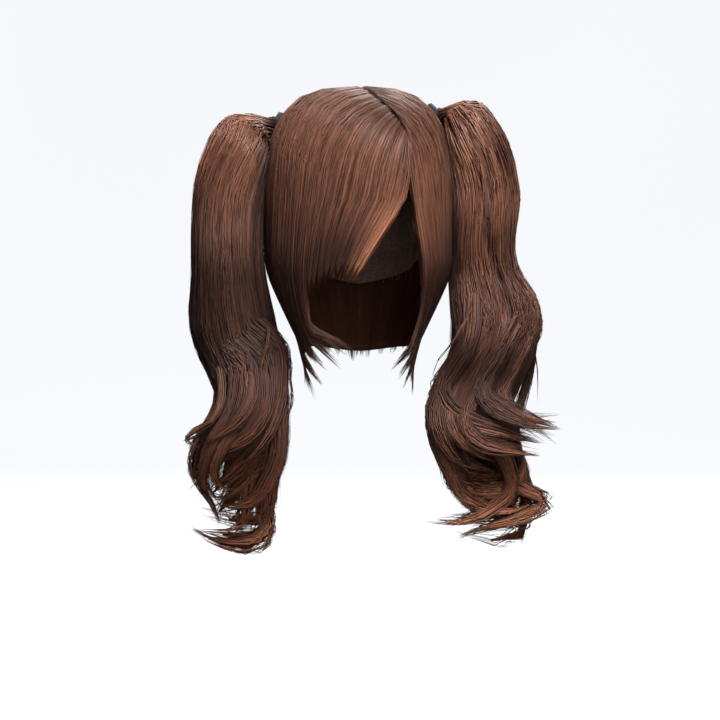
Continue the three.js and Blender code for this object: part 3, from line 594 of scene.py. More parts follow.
class Value:
    """A socket that can be reckoned with like a number."""

    def __init__(self, nodes, socket):
        self.nodes = nodes
        self.socket = socket

    def reckon(self, operation, *terms):
        made = self.nodes.add("ShaderNodeMath", {"operation": operation}, dict(enumerate(terms)))
        return Value(self.nodes, made.outputs[0])

    def __add__(self, other):
        return self.reckon("ADD", self, other)

    def __radd__(self, other):
        return self.reckon("ADD", other, self)

    def __sub__(self, other):
        return self.reckon("SUBTRACT", self, other)

    def __rsub__(self, other):
        return self.reckon("SUBTRACT", other, self)

    def __mul__(self, other):
        return self.reckon("MULTIPLY", self, other)

    def held(self):
        """Kept between 0 and 1."""
        return Value(self.nodes, self.nodes.add("ShaderNodeClamp", {}, {"Value": self}).outputs[0])


class Nodes:
    """The shader nodes of a material or of the world."""

    def __init__(self, tree):
        self.tree = tree

    def add(self, kind, settings, inputs):
        """One node: its settings first, then the values or links of its sockets."""
        node = self.tree.nodes.new(kind)
        for name, value in settings.items():
            setattr(node, name, value)
        for name, value in inputs.items():
            self.feed(node.inputs[name], value)
        return node

    def feed(self, socket, value):
        if isinstance(value, Value):
            self.tree.links.new(value.socket, socket)
        else:
            socket.default_value = value

    def blend(self, low, high, share):
        """Colour between two colours."""
        made = self.add("ShaderNodeMix", {"data_type": "RGBA"}, {0: share, 6: low, 7: high})
        return Value(self, made.outputs[2])


class Finish(Nodes):
    """A procedural material under construction."""

    def __init__(self, name):
        self.material = bpy.data.materials.new(name)
        self.material.use_nodes = True
        super().__init__(self.material.node_tree)
        self.tree.nodes.clear()
        output = self.add("ShaderNodeOutputMaterial", {}, {})
        self.shader = self.add("ShaderNodeBsdfPrincipled", {}, {})
        self.tree.links.new(self.shader.outputs[0], output.inputs[0])

    def set(self, **values):
        """Sockets of the shader itself."""
        for name, value in values.items():
            socket = name.replace("_", " ").title().replace("Ior", "IOR")
            self.feed(self.shader.inputs[socket], value)

    def mark(self, name):
        """A number that the mesh carries at its points."""
        made = self.add("ShaderNodeAttribute", {"attribute_name": name}, {})
        return Value(self, made.outputs["Fac"])

    def place(self):
        return Value(self, self.add("ShaderNodeTexCoord", {}, {}).outputs["Object"])

    def vector(self, x, y, z):
        return Value(self, self.add("ShaderNodeCombineXYZ", {}, {0: x, 1: y, 2: z}).outputs[0])

    def noise(self, vector, scale, detail):
        made = self.add("ShaderNodeTexNoise", {}, {"Vector": vector, "Scale": scale, "Detail": detail})
        return Value(self, made.outputs["Fac"])

    def bump(self, height, strength, distance):
        made = self.add("ShaderNodeBump", {},
                        {"Height": height, "Strength": strength, "Distance": distance})
        return Value(self, made.outputs[0])


def colour(red, green, blue):
    return (red, green, blue, 1.0)


def hair_finish(name, shade, gloss, shine):
    """Glossy fibre. shade 1 is the outer hair, and less is a darker copy that paints the shade of the
    hair underneath. The deep mark paints shade, and tone above 1 paints light.
    """
    finish = Finish(name)
    tone = finish.mark("tone")
    along = finish.mark("along")
    deep = finish.mark("deep")
    streak = finish.noise(finish.vector(tone * 61.0, along * 5.0, deep * 3.0), 1.0, 2.0)
    light = (tone * 0.7 + streak - 0.38).held()
    dark_and_shade = colour(0.027 * shade, 0.0092 * shade, 0.0064 * shade)
    brown = colour(0.2 * shade, 0.079 * shade, 0.045 * shade)
    lit_copper = colour(0.4 * shade, 0.15 * shade, 0.07 * shade)
    base = finish.blend(dark_and_shade, brown, (light * 1.15).held())
    # Painted shade: the deep mark darkens towards dark brown
    base = finish.blend(base, dark_and_shade, (deep * 0.93).held())
    # Painted light: copper towards the ends, where light comes through thin hair, and where tone is
    # above 1
    lit_tips = ((along - 0.74) * 2.6).held() * 0.55 * light * (1 - deep * 0.85)
    sun = (tone - 1.0).held() * 1.5 * streak
    base = finish.blend(base, lit_copper, (lit_tips + sun).held())
    finish.set(base_color=base, roughness=gloss + streak * 0.14 + deep * 0.2,
               specular_ior_level=shine, specular_tint=colour(1.0, 0.82, 0.73))
    return finish.material


def net_finish():
    """Elastic net with small openings."""
    finish = Finish("cap_net_weave")
    place = finish.place()
    weave = finish.add("ShaderNodeTexVoronoi", {"feature": "DISTANCE_TO_EDGE"},
                       {"Vector": place, "Scale": 420.0})
    thread = Value(finish, weave.outputs["Distance"])
    open_share = (thread * 3.2).held()
    wear = finish.noise(place, 35.0, 3.0)
    base = finish.blend(colour(0.16, 0.1, 0.075), colour(0.045, 0.028, 0.021), open_share)
    base = finish.blend(base, colour(0.21, 0.13, 0.1), (wear * 0.5).held())
    finish.set(base_color=base, roughness=0.75 + wear * 0.2,
               normal=finish.bump(1 - open_share, 0.5, 0.0006))
    return finish.material


def clip_finish():
    """Smooth black plastic with faint scuffs."""
    finish = Finish("clip_black_plastic")
    place = finish.place()
    scuff = finish.noise(place, 160.0, 4.0)
    cloud = finish.noise(place, 24.0, 2.0)
    base = finish.blend(colour(0.012, 0.012, 0.015), colour(0.03, 0.028, 0.032), cloud)
    finish.set(base_color=base, roughness=0.18 + scuff * 0.22,
               normal=finish.bump(scuff, 0.06, 0.0004))
    return finish.material


hair_finishes = [
    hair_finish("hair_fibre", 1.0, 0.34, 0.34),
    hair_finish("hair_fibre_underneath_shaded", 0.75, 0.5, 0.15),
]
outer_slot, under_slot = 0, 1

# Parts of the layout for strands, for what lies under them and for the inside of a tail
strand_patch = (0.0, 0.0, 1.0, 0.8)
lower_patch = (0.0, 0.8, 1.0, 0.9)
upper_patch = (0.0, 0.9, 1.0, 1.0)


# Hair panels

def panel_form(panel, across, share, end):
    """Outer and inner place of a hair panel through its thickness, as in the part's source."""
    between = np.abs((((across - panel["first"]) / (panel["last"] - panel["first"])
                       * panel["locks"]) % 1) * 2 - 1)
    turn, level = flow_place(across, share)
    rise = mix(0.72, 1, ease(share, 0, 0.14))
    dip = groove * between ** 3 * mix(0.45, 1, ease(level, 0.8, 2)) * ease(share, 0, 0.3)
    thin = ease(share / end, 0.72, 1)
    out = (rise - 0.55 * dip) * mix(1, 0.88, thin)
    hang = 0.6 * ease(level, 1.25, 2.1)
    back = np.minimum(mix(hang, out - 0.16, thin), out - 0.16)
    crown = 0.2 * (1 - ease(level, 0.45, 0.9))
    return turn, level, out, np.maximum(back, crown)


def valley_lean(across, share):
    """Turn that brings the edges on both sides of the parting's front end together."""
    last = len(flow_roots) - 1
    near_left = np.clip(1 - across / 0.5, 0, 1)
    near_right = np.clip(1 - (last - across) / 0.5, 0, 1)
    reach = ease(share, 0, 0.05) * (1 - ease(share, 0.11, 0.2))
    return 3.4 * radians * (near_left - near_right) * reach


def lit_edge(across, share):
    """Thin edges of the fringe and the right side hair, where light comes through."""
    fringe_edge = (1 - ease(across, 0.05, 0.85)) * ease(share, 0.1, 0.3)
    side_edge = ease(across, 10.3, 11.8) * ease(share, 0.12, 0.3) * (1 - ease(share, 0.38, 0.62))
    return 1.4 * fringe_edge + 0.3 * side_edge


def tail_shade(turn, level):
    """Shade of the tails on the sides of the head."""
    away = np.abs(np.abs(np.arctan2(np.sin(turn), np.cos(turn))) / radians - 88)
    return 0.7 * (1 - ease(away, 8, 30)) * ease(level, 0.5, 0.75)


def panel_locks(panel, across, under_set, rng):
    """Centre, half breadth and reach of the pointed lock that each strand is gathered into."""
    first, last = panel["first"], panel["last"]
    locks = panel["locks"] * 2
    centre = half = reach = np.zeros_like(across)
    for chosen, low, high in ((under_set, 0.93, 0.98), (~under_set, 0.96, 1.0)):
        edges = np.linspace(first, last, locks + 1)
        edges[1:-1] += rng.uniform(-0.45, 0.45, locks - 1) * (last - first) / locks
        lock = np.clip(np.searchsorted(edges, across) - 1, 0, locks - 1)
        centre = np.where(chosen, (edges[lock] + edges[lock + 1]) / 2, centre)
        half = np.where(chosen, (edges[lock + 1] - edges[lock]) / 2, half)
        reach = np.where(chosen, rng.uniform(low, high, locks)[lock] * panel["reach"], reach)
    return centre, half, reach


def panel_strands(name, count, inner_share, seed, stations=13):
    """Strands of one panel, combed along the flow lines and gathered into pointed locks."""
    panel = hair_panels[name]
    rng = np.random.default_rng(seed)
    first, last = panel["first"], panel["last"]

    def draw(low, high):
        return rng.uniform(low, high, (count, 1))

    across = draw(first, last)
    under_set = draw(0, 1) < 0.5
    centre, half, reach = panel_locks(panel, across, under_set, rng)
    end_here = along_list(panel["ends"], centre - first)
    end = end_here * reach * (1 - 0.05 * np.abs((across - centre) / half) ** 1.5)
    end = end * (1 - panel["uneven"] * draw(0, 1) ** 2)
    late = draw(0, 1) < 0.45
    start = np.where(late, draw(0.03, 0.45) * end_here, draw(0, 0.012))
    t = np.linspace(0, 1, stations)
    t = t * (0.7 + 0.3 * t)
    share = start + (end - start) * t
    along = share / end
    place = centre + (across - centre) * (1 - panel["gather"] * ease(along, 0.7, 1))
    sway = draw(0, 6.28)
    wave = np.sin(share * draw(4, 11) + sway)
    place = np.clip(place + 0.012 * wave * ease(share, 0, 0.2), first - 0.02, last + 0.02)
    turn, level, outside, inside = panel_form(panel, place, share, end)
    turn = turn + valley_lean(place, share)
    layer = rng.beta(0.9, 2.6, (count, 1))
    layer = np.where(under_set, np.clip(layer + 0.25, 0, 1), layer)
    lining = draw(0, 1) < inner_share
    out = outside - np.minimum(outside - inside, 0.5) * layer * 0.9
    out = np.where(lining, inside + 0.04 + 0.1 * layer, out)
    out = out + 0.05 * ripple(across * 40, seed + 5, [1.0, 2.7, 5.1])
    out = np.clip(out - 0.3 * late * (1 - ease(t, 0, 0.12)), 0.12, 1.06)
    points = hair_point(turn, level, out)
    up = unit(hair_point(turn, level, out + 0.3) - points) * np.where(lining, -1, 1)[:, :, None]
    width = strand_width * rng.uniform(0.65, 1.3, count)
    crest = strand_crest * rng.uniform(0.7, 1.3, count)
    tone = 0.5 + 0.3 * ripple(across * 30, seed + 9, [1.0, 2.1, 4.3]) + rng.normal(0, 0.16, (count, 1))
    # Painted shade for deeper layers, towards the ends and beside the tails; painted light on thin edges
    droop = panel["droop"] * ease(along, panel["droop_from"], panel["droop_from"] + 0.45)
    lit = lit_edge(place, share)
    root = 0.5 + 0.5 * ripple(across * 17, seed + 3, [1.0, 2.3])
    root = root * 0.9 * (1 - ease(share, 0.03, 0.2))
    shade = 0.7 * layer + droop * (1 - 0.8 * lit) + root + tail_shade(turn, level)
    tone = np.clip(tone, 0, 1) + 0.7 * lit
    return strand_rings(points, up, width, crest), tone[:, :, None], np.clip(shade, 0, 1)[:, :, None]


def panel_piece(name, count, inner_share, seed):
    panel = hair_panels[name]
    bundle = Bundle()
    rings, tone, deep = panel_strands(name, count, inner_share, seed)
    bundle.tubes(rings, strand_patch, tone, deep, outer_slot)
    across = np.linspace(panel["first"], panel["last"], panel["locks"] * 10 + 1)[:, None]
    end = along_list(panel["ends"], across - panel["first"]) * panel["shell"]
    share = end * np.linspace(0, 1, 26)[None, :]
    turn, level, outside, inside = panel_form(panel, across, share, end)
    turn = turn + valley_lean(across, share)
    low = np.minimum(inside, outside - 0.3)
    middle = np.maximum(outside - 0.26, low + 0.06)
    # The layer underneath, in the darker copy of the fibre, with painted shade
    bundle.shell(hair_point(turn, level, middle), hair_point(turn, level, low), lower_patch, 0.75,
                 under_slot)
    made = bundle.piece(name + "_strands", hair_finishes)
    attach(made, "root")
    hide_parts(name)


# Tails

def tail_top(name):
    place = clip_places[name]
    crest = hair_point(place["turn"] * radians, place["top"], 1, piece_gap)
    return crest[2] + place["rise"] * tail_length


flank = abs(hair_point(quarter, 1, 1)[0])
tail_sides = {"left": -1, "right": 1}
tail_tops = {name: tail_top(name) for name in tail_sides}


def tail_point(name, out, fore, down):
    out, fore, down = np.broadcast_arrays(out, fore, down)
    x = tail_sides[name] * (flank + out * tail_width)
    return np.stack([x, -fore * tail_depth, tail_tops[name] - down * tail_length], -1)


def tail_wave(name, down):
    """How far the tail stands forward of its table at a share down."""
    first, length, height = tail_waves[name]
    return height * np.cos((down - first) / length * 2 * math.pi) * ease(down, 0.12, 0.3)


def tail_section(name, down):
    rows = np.array(tail_bodies[name])
    out, fore, wide, deep = [along_places(rows[:, 0], rows[:, k], down) for k in (1, 2, 3, 4)]
    return [out, fore + tail_wave(name, down), wide, deep]


def read_at(table, where):
    """Rows of a table of points, read at places between them."""
    steps = np.arange(len(table))
    columns = [np.interp(where.ravel(), steps, table[:, k]) for k in range(3)]
    return np.stack(columns, -1).reshape(where.shape + (3,))


def smooth_path(points, samples=160):
    """Even samples along a smooth curve through points, and its length."""
    points = np.asarray(points, float)
    steps = np.sqrt(np.linalg.norm(np.diff(points, axis=0), axis=1))
    places = np.concatenate([[0], np.cumsum(steps)])
    fine = np.linspace(0, places[-1], samples * 3)
    curve = np.stack([along_places(places, points[:, k], fine) for k in range(3)], -1)
    length = np.concatenate([[0], np.cumsum(np.linalg.norm(np.diff(curve, axis=0), axis=1))])
    even = np.linspace(0, length[-1], samples)
    return np.stack([np.interp(even, length, curve[:, k]) for k in range(3)], -1), length[-1]


def body_angle(around, down):
    """Degrees round the body at a share down: near the clip the hair comes from the inner side."""
    fan = 35 * math.sin(around * radians) ** 2 * (1 if around % 360 < 180 else -1)
    return (around + fan * (1 - ease(down, 0, 0.22))) * radians


def lock_normals(run, marks, facing):
    """Directions square to a lock's run that turn smoothly from one wanted facing to the next."""
    steps = np.arange(len(run))
    wanted = np.stack([np.interp(steps, marks, [f[axis] for f in facing]) for axis in range(3)], -1)
    normal = np.zeros_like(run)
    current = wanted[0]
    for k in steps:
        current = 0.75 * current + 0.25 * wanted[k]
        current = current - run[k] * np.dot(current, run[k])
        current = current / np.linalg.norm(current)
        normal[k] = current
    return normal


def lock_course(name, around, leaves, course):
    """Centre line of one lock from root to tip, the directions across it and out of its broad
    side, the share of it that lies on the body, and how tightly it bends."""
    side = tail_sides[name]
    place = clip_places[name]
    angle = around * radians
    low = (1 - math.cos(angle)) / 2
    level = mix(place["top"] + root_drop * place["drop"], place["bottom"], 0.8 * low)
    root = hair_point(place["turn"] * radians, level, 1, clip_depth * 0.6)
    root[1] -= math.sin(angle) * clip_width / 2
    inset_wide = lock_depth * 0.3 / tail_width
    inset_deep = lock_depth * 0.3 / tail_depth
    joins = mix(0.012, 0.1, low)
    downs = np.concatenate([[joins], np.arange(joins + 0.03, leaves, 0.045), [leaves]])
    points = [root]
    facing = [np.array([side * 0.5, -0.4 * math.sin(angle), 1.0])]
    for down in downs:
        out, fore, wide, deep = tail_section(name, down)
        turned = body_angle(around, down)
        points.append(tail_point(name, out + (wide - inset_wide) * math.cos(turned),
                                 fore + (deep - inset_deep) * math.sin(turned), down))
        lift = 0.12 + 1.2 * (1 - ease(down, 0, 0.1))
        facing.append(unit(np.array([side * math.cos(turned), -math.sin(turned), lift])))
    on_body = len(points)
    for out, down, fore in course:
        out = out + 0.075 * (1 - ease(out, -0.25, 0.12))
        body_out, body_fore, _, _ = tail_section(name, min(down, 0.86))
        points.append(tail_point(name, out, fore + tail_wave(name, down), down))
        facing.append(unit(np.array([side * (out - body_out) * tail_width,
                                     -(fore - body_fore * 0.7) * tail_depth, 7.0])))
    curve, length = smooth_path(points)
    marks = []
    for point in points:
        start = marks[-1] if marks else 0
        marks.append(start + np.argmin(np.linalg.norm(curve[start:start + 60] - point, axis=1)))
    body_share = marks[on_body - 1] / (len(curve) - 1)
    run = unit(np.gradient(curve, axis=0))
    normal = lock_normals(run, marks, facing)
    across = np.cross(run, normal)
    bend = np.abs(np.sum(np.gradient(run, axis=0) * across, axis=1)) / (length / len(curve))
    bend = np.convolve(np.pad(bend, 6, mode="edge"), np.full(13, 1 / 13), mode="valid")
    return curve, across, normal, body_share, bend


def lock_spread(s, on_body):
    """Breadth of a lock along its length, as a share of its full breadth."""
    tip = mix(1, 0.08, ease(s, 0.83, 1.0) ** 1.2)
    return mix(0.42, 1, ease(s, 0, 0.16)) * mix(0.95, 1, on_body) * tip


def bend_room(bend, where, wide):
    """Share of a lock's breadth that a tight bend leaves room for."""
    here = np.interp(where, np.arange(len(bend)), bend)
    return 1 / (1 + (here * wide * 0.8) ** 2)


def lock_strands(course, wide, deep, count, rng, stations, late, thin, loose):
    """Strands of one lock, spread through a flat oval that narrows to its tip."""
    curve, across, normal, body_share, bend = course
    outer = rng.uniform(0, 1, count) < 0.76
    angle = np.where(outer, rng.uniform(0, math.pi, count), rng.uniform(math.pi, 2 * math.pi, count))
    angle = angle[:, None]
    radius = np.sqrt(rng.uniform(0.7, 1.0, count))[:, None]
    end = 1 - 0.13 * rng.uniform(0, 1, (count, 1)) ** 1.5
    start = np.where(rng.uniform(0, 1, (count, 1)) < late, rng.uniform(0.14, 0.36, (count, 1)), 0.0)
    t = np.linspace(0, 1, stations)[None, :] ** rng.uniform(0.93, 1.08, (count, 1))
    t = t * (1 + 0.3 * (late - 0.6) * (1 - t))
    s = start + (end - start) * t
    where = s * (len(curve) - 1)
    centre, side, front = read_at(curve, where), read_at(across, where), read_at(normal, where)
    on_body = 1 - ease(s, body_share * 0.72, body_share * 1.12)
    spread = lock_spread(s, on_body) * bend_room(bend, where, wide)
    angle = angle + rng.uniform(-0.5, 0.5, (count, 1)) * s
    sway = rng.uniform(0, 6.28, (count, 1))
    beat = rng.uniform(5, 13, (count, 1))
    aside, ahead = np.cos(angle), np.sin(angle)
    power = mix(1.0, 0.55, on_body)
    calm = loose * (1 - 0.7 * on_body)
    u = radius * np.sign(aside) * np.abs(aside) ** power + 0.07 * calm * np.sin(beat * s + sway)
    v = radius * np.sign(ahead) * np.abs(ahead) ** power + 0.06 * calm * np.cos(beat * s + sway * 1.7)
    x = u * wide * spread
    flat = mix(1, 0.2, on_body)
    y = (v * flat + 0.8 * (1 - flat)) * deep * mix(spread, 1, 0.25 * on_body)
    y = y - 0.6 * deep * (start > 0) * (1 - ease(t, 0, 0.12))
    bow = x * x / (2 * body_bow) * on_body
    points = centre + side * x[:, :, None] + front * (y - bow)[:, :, None]
    up = unit(side * (aside / wide + on_body * x / body_bow / deep)[:, :, None]
              + front * (ahead / deep)[:, :, None])
    tone = np.clip(0.5 + rng.normal(0, 0.1, count), 0, 1)
    # Painted shade: darker at the edges and back of a free lock, and on its inner side on the body
    edge = 0.7 * np.abs(aside) ** 3 + 0.35 * (ahead < 0)
    painted_shade = mix(edge, np.clip(0.15 - 0.6 * ahead, 0, 1), on_body)
    width = tail_strand_width * rng.uniform(0.6, 1.4, count) * thin
    crest = 0.75 * strand_crest * rng.uniform(0.7, 1.3, count) * thin
    # Painted light on the front of each free lock
    tone = tone[:, None] + 0.25 * (1 - on_body) * np.clip(ahead, 0, 1)
    return strand_rings(points, up, width, crest), tone[:, :, None], painted_shade[:, :, None]


def lock_core(course, wide, deep, stations=18, sides=8):
    """Inside of a lock, an oval tube that stays under its strands, drawn dark as painted shade."""
    curve, across, normal, body_share, bend = course
    s = np.linspace(0.0, 0.93, stations)
    where = s * (len(curve) - 1)
    on_body = 1 - ease(s, body_share * 0.85, body_share * 1.05)
    spread = lock_spread(s, on_body) * (1 - 0.75 * ease(s, 0.84, 0.93))
    spread = spread * bend_room(bend, where, wide) ** 2
    angle = np.arange(sides) / sides * 2 * math.pi
    x = np.cos(angle)[None, :] * (wide * 0.84 * spread)[:, None]
    y = np.sin(angle)[None, :] * (deep * 0.62 * spread)[:, None]
    y = y - x * x / (2 * body_bow) * on_body[:, None]
    side, front = read_at(across, where)[:, None], read_at(normal, where)[:, None]
    return read_at(curve, where)[:, None] + side * x[:, :, None] + front * y[:, :, None]


def filling_locks(name, between, rng):
    """The table's locks and others worked out between neighbours, as front_locks rows."""
    made = []
    rows = [np.array(row, float) for row in tail_locks[name]]
    for k, row in enumerate(rows):
        after = rows[(k + 1) % len(rows)].copy()
        if k == len(rows) - 1:
            after[0] += 360
        for j in range(between):
            lock = mix(row, after, j / between)
            if j > 0:
                lock[2:8] += rng.normal(0, 0.022, 6)
            around, leaves, *bends, tip_fore, size = lock
            _, fore, _, deep = tail_section(name, leaves)
            start_fore = fore + (deep - lock_depth * 0.3 / tail_depth) * math.sin(around * radians)
            course = [(bends[2 * i], bends[2 * i + 1], mix(start_fore, tip_fore, share))
                      for i, share in enumerate((0.35, 0.7, 0.9))]
            made.append((around, leaves, size, course))
    return made


def split_tail(rings, deep):
    """Press a furrow into the front of the right tail along its split, with painted shade in it."""
    table = np.array(tail_split)
    down = (tail_tops["right"] - rings[:, :, :, 2]) / tail_length
    line = flank + np.interp(down, table[:, 1], table[:, 0]) * tail_width
    near = np.exp(-((rings[:, :, :, 0] - line) / furrow_width) ** 2)
    near = near * ease(down, 0.05, 0.12) * (1 - ease(down, 0.46, 0.53)) * (rings[:, :, :, 1] < -12)
    rings[:, :, :, 1] += furrow_depth * near
    return np.clip(deep + 1.3 * near, 0, 1)


def lock_shade(name, rings, behind):
    """Painted shade in the hollows of the waves, on the side towards the head and on hair behind the
    lowest curls.
    """
    low = -rings[:, :, :, 2]
    bands = np.array(tail_shade_bands[name])
    shades = np.array(shaded_sides[name])
    edge = np.interp(low, shades[:, 0], shades[:, 1])
    inner = 1 - ease(tail_sides[name] * rings[:, :, :, 0] - edge, 2, 9)
    shade = np.interp(low, bands[:, 0], bands[:, 1]) + inner * (1 - ease(low, 150, 230))
    return shade + 0.2 * ease(low, 190, 260) * behind


def tail_core(name):
    """Inside of a tail's body, an oval tube, drawn dark as painted shade."""
    down = np.linspace(0.04, 0.68, 26)[:, None]
    out, fore, wide, deep = tail_section(name, down)
    fade = mix(0.3, 0.86, ease(down, 0.03, 0.2)) * mix(1, 0.35, ease(down, 0.48, 0.68))
    wide = np.maximum(wide - lock_depth * 0.4 / tail_width, 0.05) * fade
    deep = np.maximum(deep - lock_depth * 0.4 / tail_depth, 0.05) * fade
    angle = np.arange(24) / 24 * 2 * math.pi
    core = tail_point(name, out + wide * np.cos(angle), fore + deep * np.sin(angle), down)
    return core if name == "right" else core[:, ::-1]


# Kinds of locks in a tail: breadth as a share of lock_width, how far they lie behind their table,
# which also gives them painted shade, stations of a strand, share of the strands that start late,
# and how thick those are
lock_kinds = {
    "filling": {"broad": 0.95, "back": 0.0, "stations": 16, "late": 0.12, "full": 1.0},
    "front": {"broad": 0.82, "back": 0.0, "stations": 18, "late": 1.0, "full": 1.12},
    "deeper": {"broad": 0.95, "back": 0.11, "stations": 14, "late": 1.0, "full": 1.0},
    "stray": {"broad": 1.0, "back": 0.0, "stations": 16, "late": 1.0, "full": 1.0},
}


def tail_piece(name, between, counts, seed):
    rng = np.random.default_rng(seed)
    bundle = Bundle()
    cores = []
    tables = {"filling": filling_locks(name, between, rng), "front": front_locks[name],
              "deeper": front_locks[name], "stray": stray_locks[name]}
    rows = [(kind, row) for kind in lock_kinds for row in tables[kind]]
    for kind, (around, leaves, size, points) in rows:
        look = lock_kinds[kind]
        back = look["back"]
        if back > 0:
            points = [(out + rng.normal(0, 0.03), down + rng.normal(0, 0.008), fore - back)
                      for out, down, fore in points]
        course = lock_course(name, around, leaves, points)
        wide = lock_width * 0.5 * size * look["broad"]
        deep = lock_depth * 0.36 * size
        lock_tone = rng.normal(0, 0.17)
        behind = max(math.sin(around * radians), 0) if kind in ("filling", "deeper") else 0
        amount = int(counts[kind] * mix(0.6, 1, size))
        bunches = [(amount, 1.0, look["full"], 1.0), (2, 1.2, 0.5, 2.6)]
        for amount, grow, thin, loose in bunches[:1] if back > 0 else bunches:
            rings, tone, painted_shade = lock_strands(course, wide * grow, deep * grow, amount, rng,
                                               look["stations"], look["late"], thin, loose)
            # Painted shade: the lock's own, the wave hollows and the head's side, and more for locks
            # lying behind
            shadow = lock_shade(name, rings, behind)
            painted_shade = np.clip(painted_shade * thin + shadow + 2 * back, 0, 1)
            if name == "right":
                painted_shade = split_tail(rings, painted_shade)
            # Painted light that brightens the lowest curls
            glow = 0.4 * ease(-rings[:, :, :, 2], 318, 350)
            tone = np.clip(tone + lock_tone + glow, 0.1, 1.3)
            bundle.tubes(rings, strand_patch, tone, painted_shade, outer_slot)
        if back == 0 and size > 0.2:
            cores.append(lock_core(course, wide, deep))
    # Cores in the darker copy of the fibre, with painted shade
    bundle.tubes(np.stack(cores), lower_patch, 0.4, 0.55, under_slot)
    bundle.tubes(tail_core(name)[None], upper_patch, 0.4, 0.9, under_slot)
    made = bundle.piece("pigtail_" + name + "_strands", hair_finishes)
    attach(made, "root")
    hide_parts("pigtail_" + name)


# Claw clips

def claw_clip(name, finish):
    """A bowed bar shaped by extruding its end face, with a hinge and two rows of short teeth."""
    place = clip_places[name]
    outward = Vector((tail_sides[name], 0, 0))
    turn = place["turn"] * radians
    last = 8
    levels = np.linspace(place["top"], place["bottom"], last + 1)
    middle = piece_gap + clip_depth / 2
    spine = [Vector(hair_point(turn, level, 1, middle) * metre) for level in levels]
    breadths = [clip_width * metre * mix(0.7, 1, math.sin(k / last * math.pi)) for k in range(last + 1)]
    whole = (spine[last] - spine[0]).normalized()
    bpy.ops.mesh.primitive_plane_add(size=1, location=spine[0],
                                     rotation=(0, math.atan2(whole.x, whole.z), 0))
    clip = bpy.context.object
    clip.name = "clip_" + name + "_claw"
    clip.scale = (clip_depth * metre, breadths[0], 1)
    bpy.ops.object.transform_apply(location=True, rotation=True, scale=True)
    bpy.ops.object.mode_set(mode="EDIT")
    bpy.ops.mesh.select_all(action="SELECT")
    for k in range(1, last + 1):
        bpy.ops.mesh.extrude_region_move(TRANSFORM_OT_translate={"value": spine[k] - spine[k - 1]})
        bpy.ops.transform.resize(value=(1, breadths[k] / breadths[k - 1], 1), center_override=spine[k])
    for k in range(1, last):
        for edge in (-1, 1):
            point = Vector((outward.x, -edge * 0.35, 0.15)).normalized()
            root = spine[k] + Vector((0, edge * breadths[k] * 0.42, 0))
            bpy.ops.mesh.primitive_cone_add(
                vertices=10, radius1=tooth_root * metre, radius2=tooth_tip * metre,
                depth=tooth_length * metre, location=root + point * 0.56 * tooth_length * metre,
                rotation=point.to_track_quat("Z", "Y").to_euler())
    bpy.ops.mesh.primitive_cylinder_add(
        vertices=20, radius=pin_radius * metre, depth=pin_length * metre,
        location=spine[1] + outward * 3 * metre, rotation=(quarter, 0, 0))
    bpy.ops.mesh.select_all(action="SELECT")
    bpy.ops.mesh.normals_make_consistent(inside=False)
    bpy.ops.object.mode_set(mode="OBJECT")
    bevel = clip.modifiers.new("edges", "BEVEL")
    bevel.width = clip_edge * metre
    bevel.segments = 2
    bevel.limit_method = "ANGLE"
    bpy.ops.object.modifier_apply(modifier="edges")
    bpy.ops.object.shade_smooth_by_angle(angle=40 * radians)
    clip.data.materials.append(finish)
    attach(clip, "root")
    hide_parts("clip_" + name)
    clip.select_set(False)


# The pieces

panel_piece("fringe", 1800, 0.05, 11)
panel_piece("side_hair_left", 1500, 0.12, 12)
panel_piece("side_hair_right", 1500, 0.12, 13)
panel_piece("back_hair", 2200, 0.25, 14)
tail_piece("left", 3, {"filling": 35, "front": 56, "deeper": 32, "stray": 9}, 21)
tail_piece("right", 3, {"filling": 32, "front": 56, "deeper": 32, "stray": 9}, 22)
black_plastic = clip_finish()
claw_clip("left", black_plastic)
claw_clip("right", black_plastic)

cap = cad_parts["wig_cap"]
cap.data.materials.clear()
cap.data.materials.append(net_finish())


# Stage, light and camera

def stage_finish():
    finish = Finish("pale_stage")
    cloud = finish.noise(finish.place(), 0.6, 1.0)
    pale = finish.blend(colour(0.82, 0.84, 0.87), colour(0.88, 0.89, 0.91), cloud)
    matt = finish.blend(colour(0.2, 0.205, 0.21), colour(0.22, 0.225, 0.23), cloud)
    finish.set(base_color=matt, roughness=0.9, emission_color=pale, emission_strength=0.98)
    return finish.material


def pale_bowl():
    """A pale floor that rises into a far wall all round, with no corner in view."""
    bpy.ops.mesh.primitive_circle_add(vertices=96, radius=floor_radius * metre, fill_type="NGON",
                                      location=(0, 0, -floor_drop * metre))
    bowl = bpy.context.object
    bowl.name = "studio_floor"
    bpy.ops.object.transform_apply(location=True)
    bpy.ops.object.mode_set(mode="EDIT")
    bpy.ops.mesh.select_mode(type="EDGE")
    bpy.ops.mesh.select_all(action="DESELECT")
    bpy.ops.mesh.select_non_manifold()
    steps = 12
    before = 0
    for step in range(1, steps + 1):
        angle = step / steps * quarter
        lift = floor_rise * metre * (math.cos(before) - math.cos(angle))
        spread = (floor_radius + floor_rise * math.sin(angle)) \
            / (floor_radius + floor_rise * math.sin(before))
        bpy.ops.mesh.extrude_region_move(TRANSFORM_OT_translate={"value": (0, 0, lift)})
        bpy.ops.transform.resize(value=(spread, spread, 1), center_override=(0, 0, 0))
        before = angle
    bpy.ops.mesh.extrude_region_move(TRANSFORM_OT_translate={"value": (0, 0, 2.5)})
    bpy.ops.mesh.select_all(action="SELECT")
    bpy.ops.mesh.normals_make_consistent(inside=True)
    bpy.ops.object.mode_set(mode="OBJECT")
    bpy.ops.object.shade_smooth()
    bowl.data.materials.append(stage_finish())
    bowl.visible_diffuse = False
    bowl.visible_glossy = False


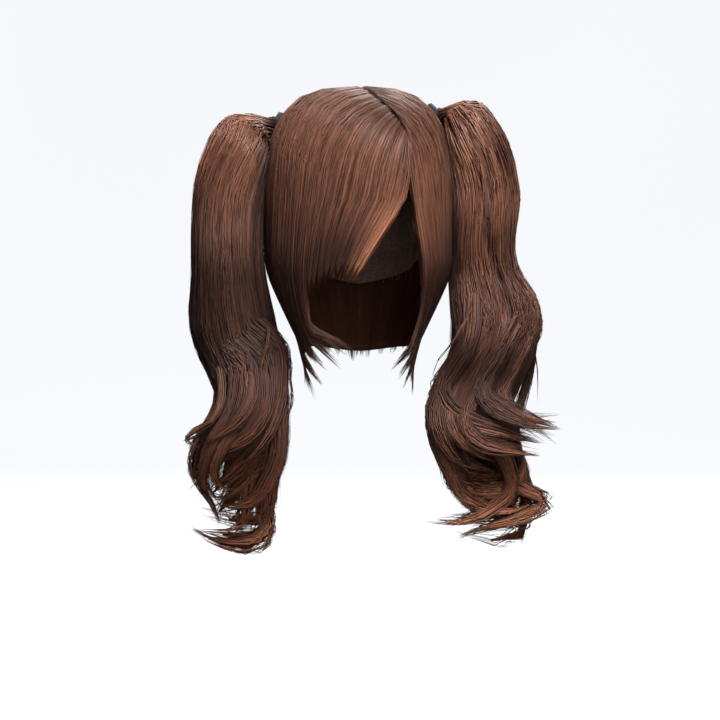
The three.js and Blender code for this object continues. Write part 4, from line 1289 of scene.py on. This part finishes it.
def soft_light(name, place, target, size, power, tint):
    lamp = bpy.data.lights.new(name, "AREA")
    lamp.shape = "DISK"
    lamp.size = size
    lamp.energy = power
    lamp.color = tint
    made = bpy.data.objects.new(name, lamp)
    made.location = place
    made.rotation_euler = (Vector(target) - Vector(place)).to_track_quat("-Z", "Y").to_euler()
    bpy.context.scene.collection.objects.link(made)


def pale_air():
    """Weak light from all round, a little brighter from above."""
    world = bpy.data.worlds.new("pale_air")
    world.use_nodes = True
    nodes = Nodes(world.node_tree)
    look = nodes.add("ShaderNodeTexCoord", {}, {})
    parts = nodes.add("ShaderNodeSeparateXYZ", {}, {0: Value(nodes, look.outputs["Generated"])})
    height = nodes.add("ShaderNodeMapRange", {},
                       {"Value": Value(nodes, parts.outputs["Z"]), "From Min": -0.6, "From Max": 1.0})
    tint = nodes.blend(colour(0.3, 0.28, 0.27), colour(0.6, 0.62, 0.66), Value(nodes, height.outputs[0]))
    air = world.node_tree.nodes["Background"]
    nodes.feed(air.inputs["Color"], tint)
    nodes.feed(air.inputs["Strength"], 0.5)
    bpy.context.scene.world = world


def front_camera():
    """The photo's view: level, from straight ahead and from far off."""
    lens = bpy.data.cameras.new("front_camera")
    lens.sensor_width = 36
    lens.lens = lens.sensor_width * view_distance / (pixel_size * picture_pixels)
    lens.clip_start = 0.05
    lens.clip_end = 50
    camera = bpy.data.objects.new("front_camera", lens)
    camera.location = (view_right * metre, -view_distance * metre, view_height * metre)
    camera.rotation_euler = (quarter, 0, 0)
    bpy.context.scene.collection.objects.link(camera)
    bpy.context.scene.camera = camera


pale_bowl()
soft_light("top_soft", (0.32, -0.72, 1.15), (0.0, 0.0, -0.1), 0.6, 68, (0.98, 0.98, 1.0))
soft_light("front_soft", (0.7, -1.9, 0.1), (0.01, 0.0, -0.2), 1.2, 9, (1.0, 0.97, 0.94))
soft_light("low_soft", (0.1, -1.7, -0.5), (0.0, 0.0, -0.25), 1.1, 7, (1.0, 0.96, 0.93))
soft_light("back_soft", (0.3, 1.2, 1.0), (0.0, 0.0, -0.1), 0.9, 20, (1.0, 0.95, 0.9))
pale_air()
front_camera()
bpy.context.scene.view_settings.view_transform = "Standard"
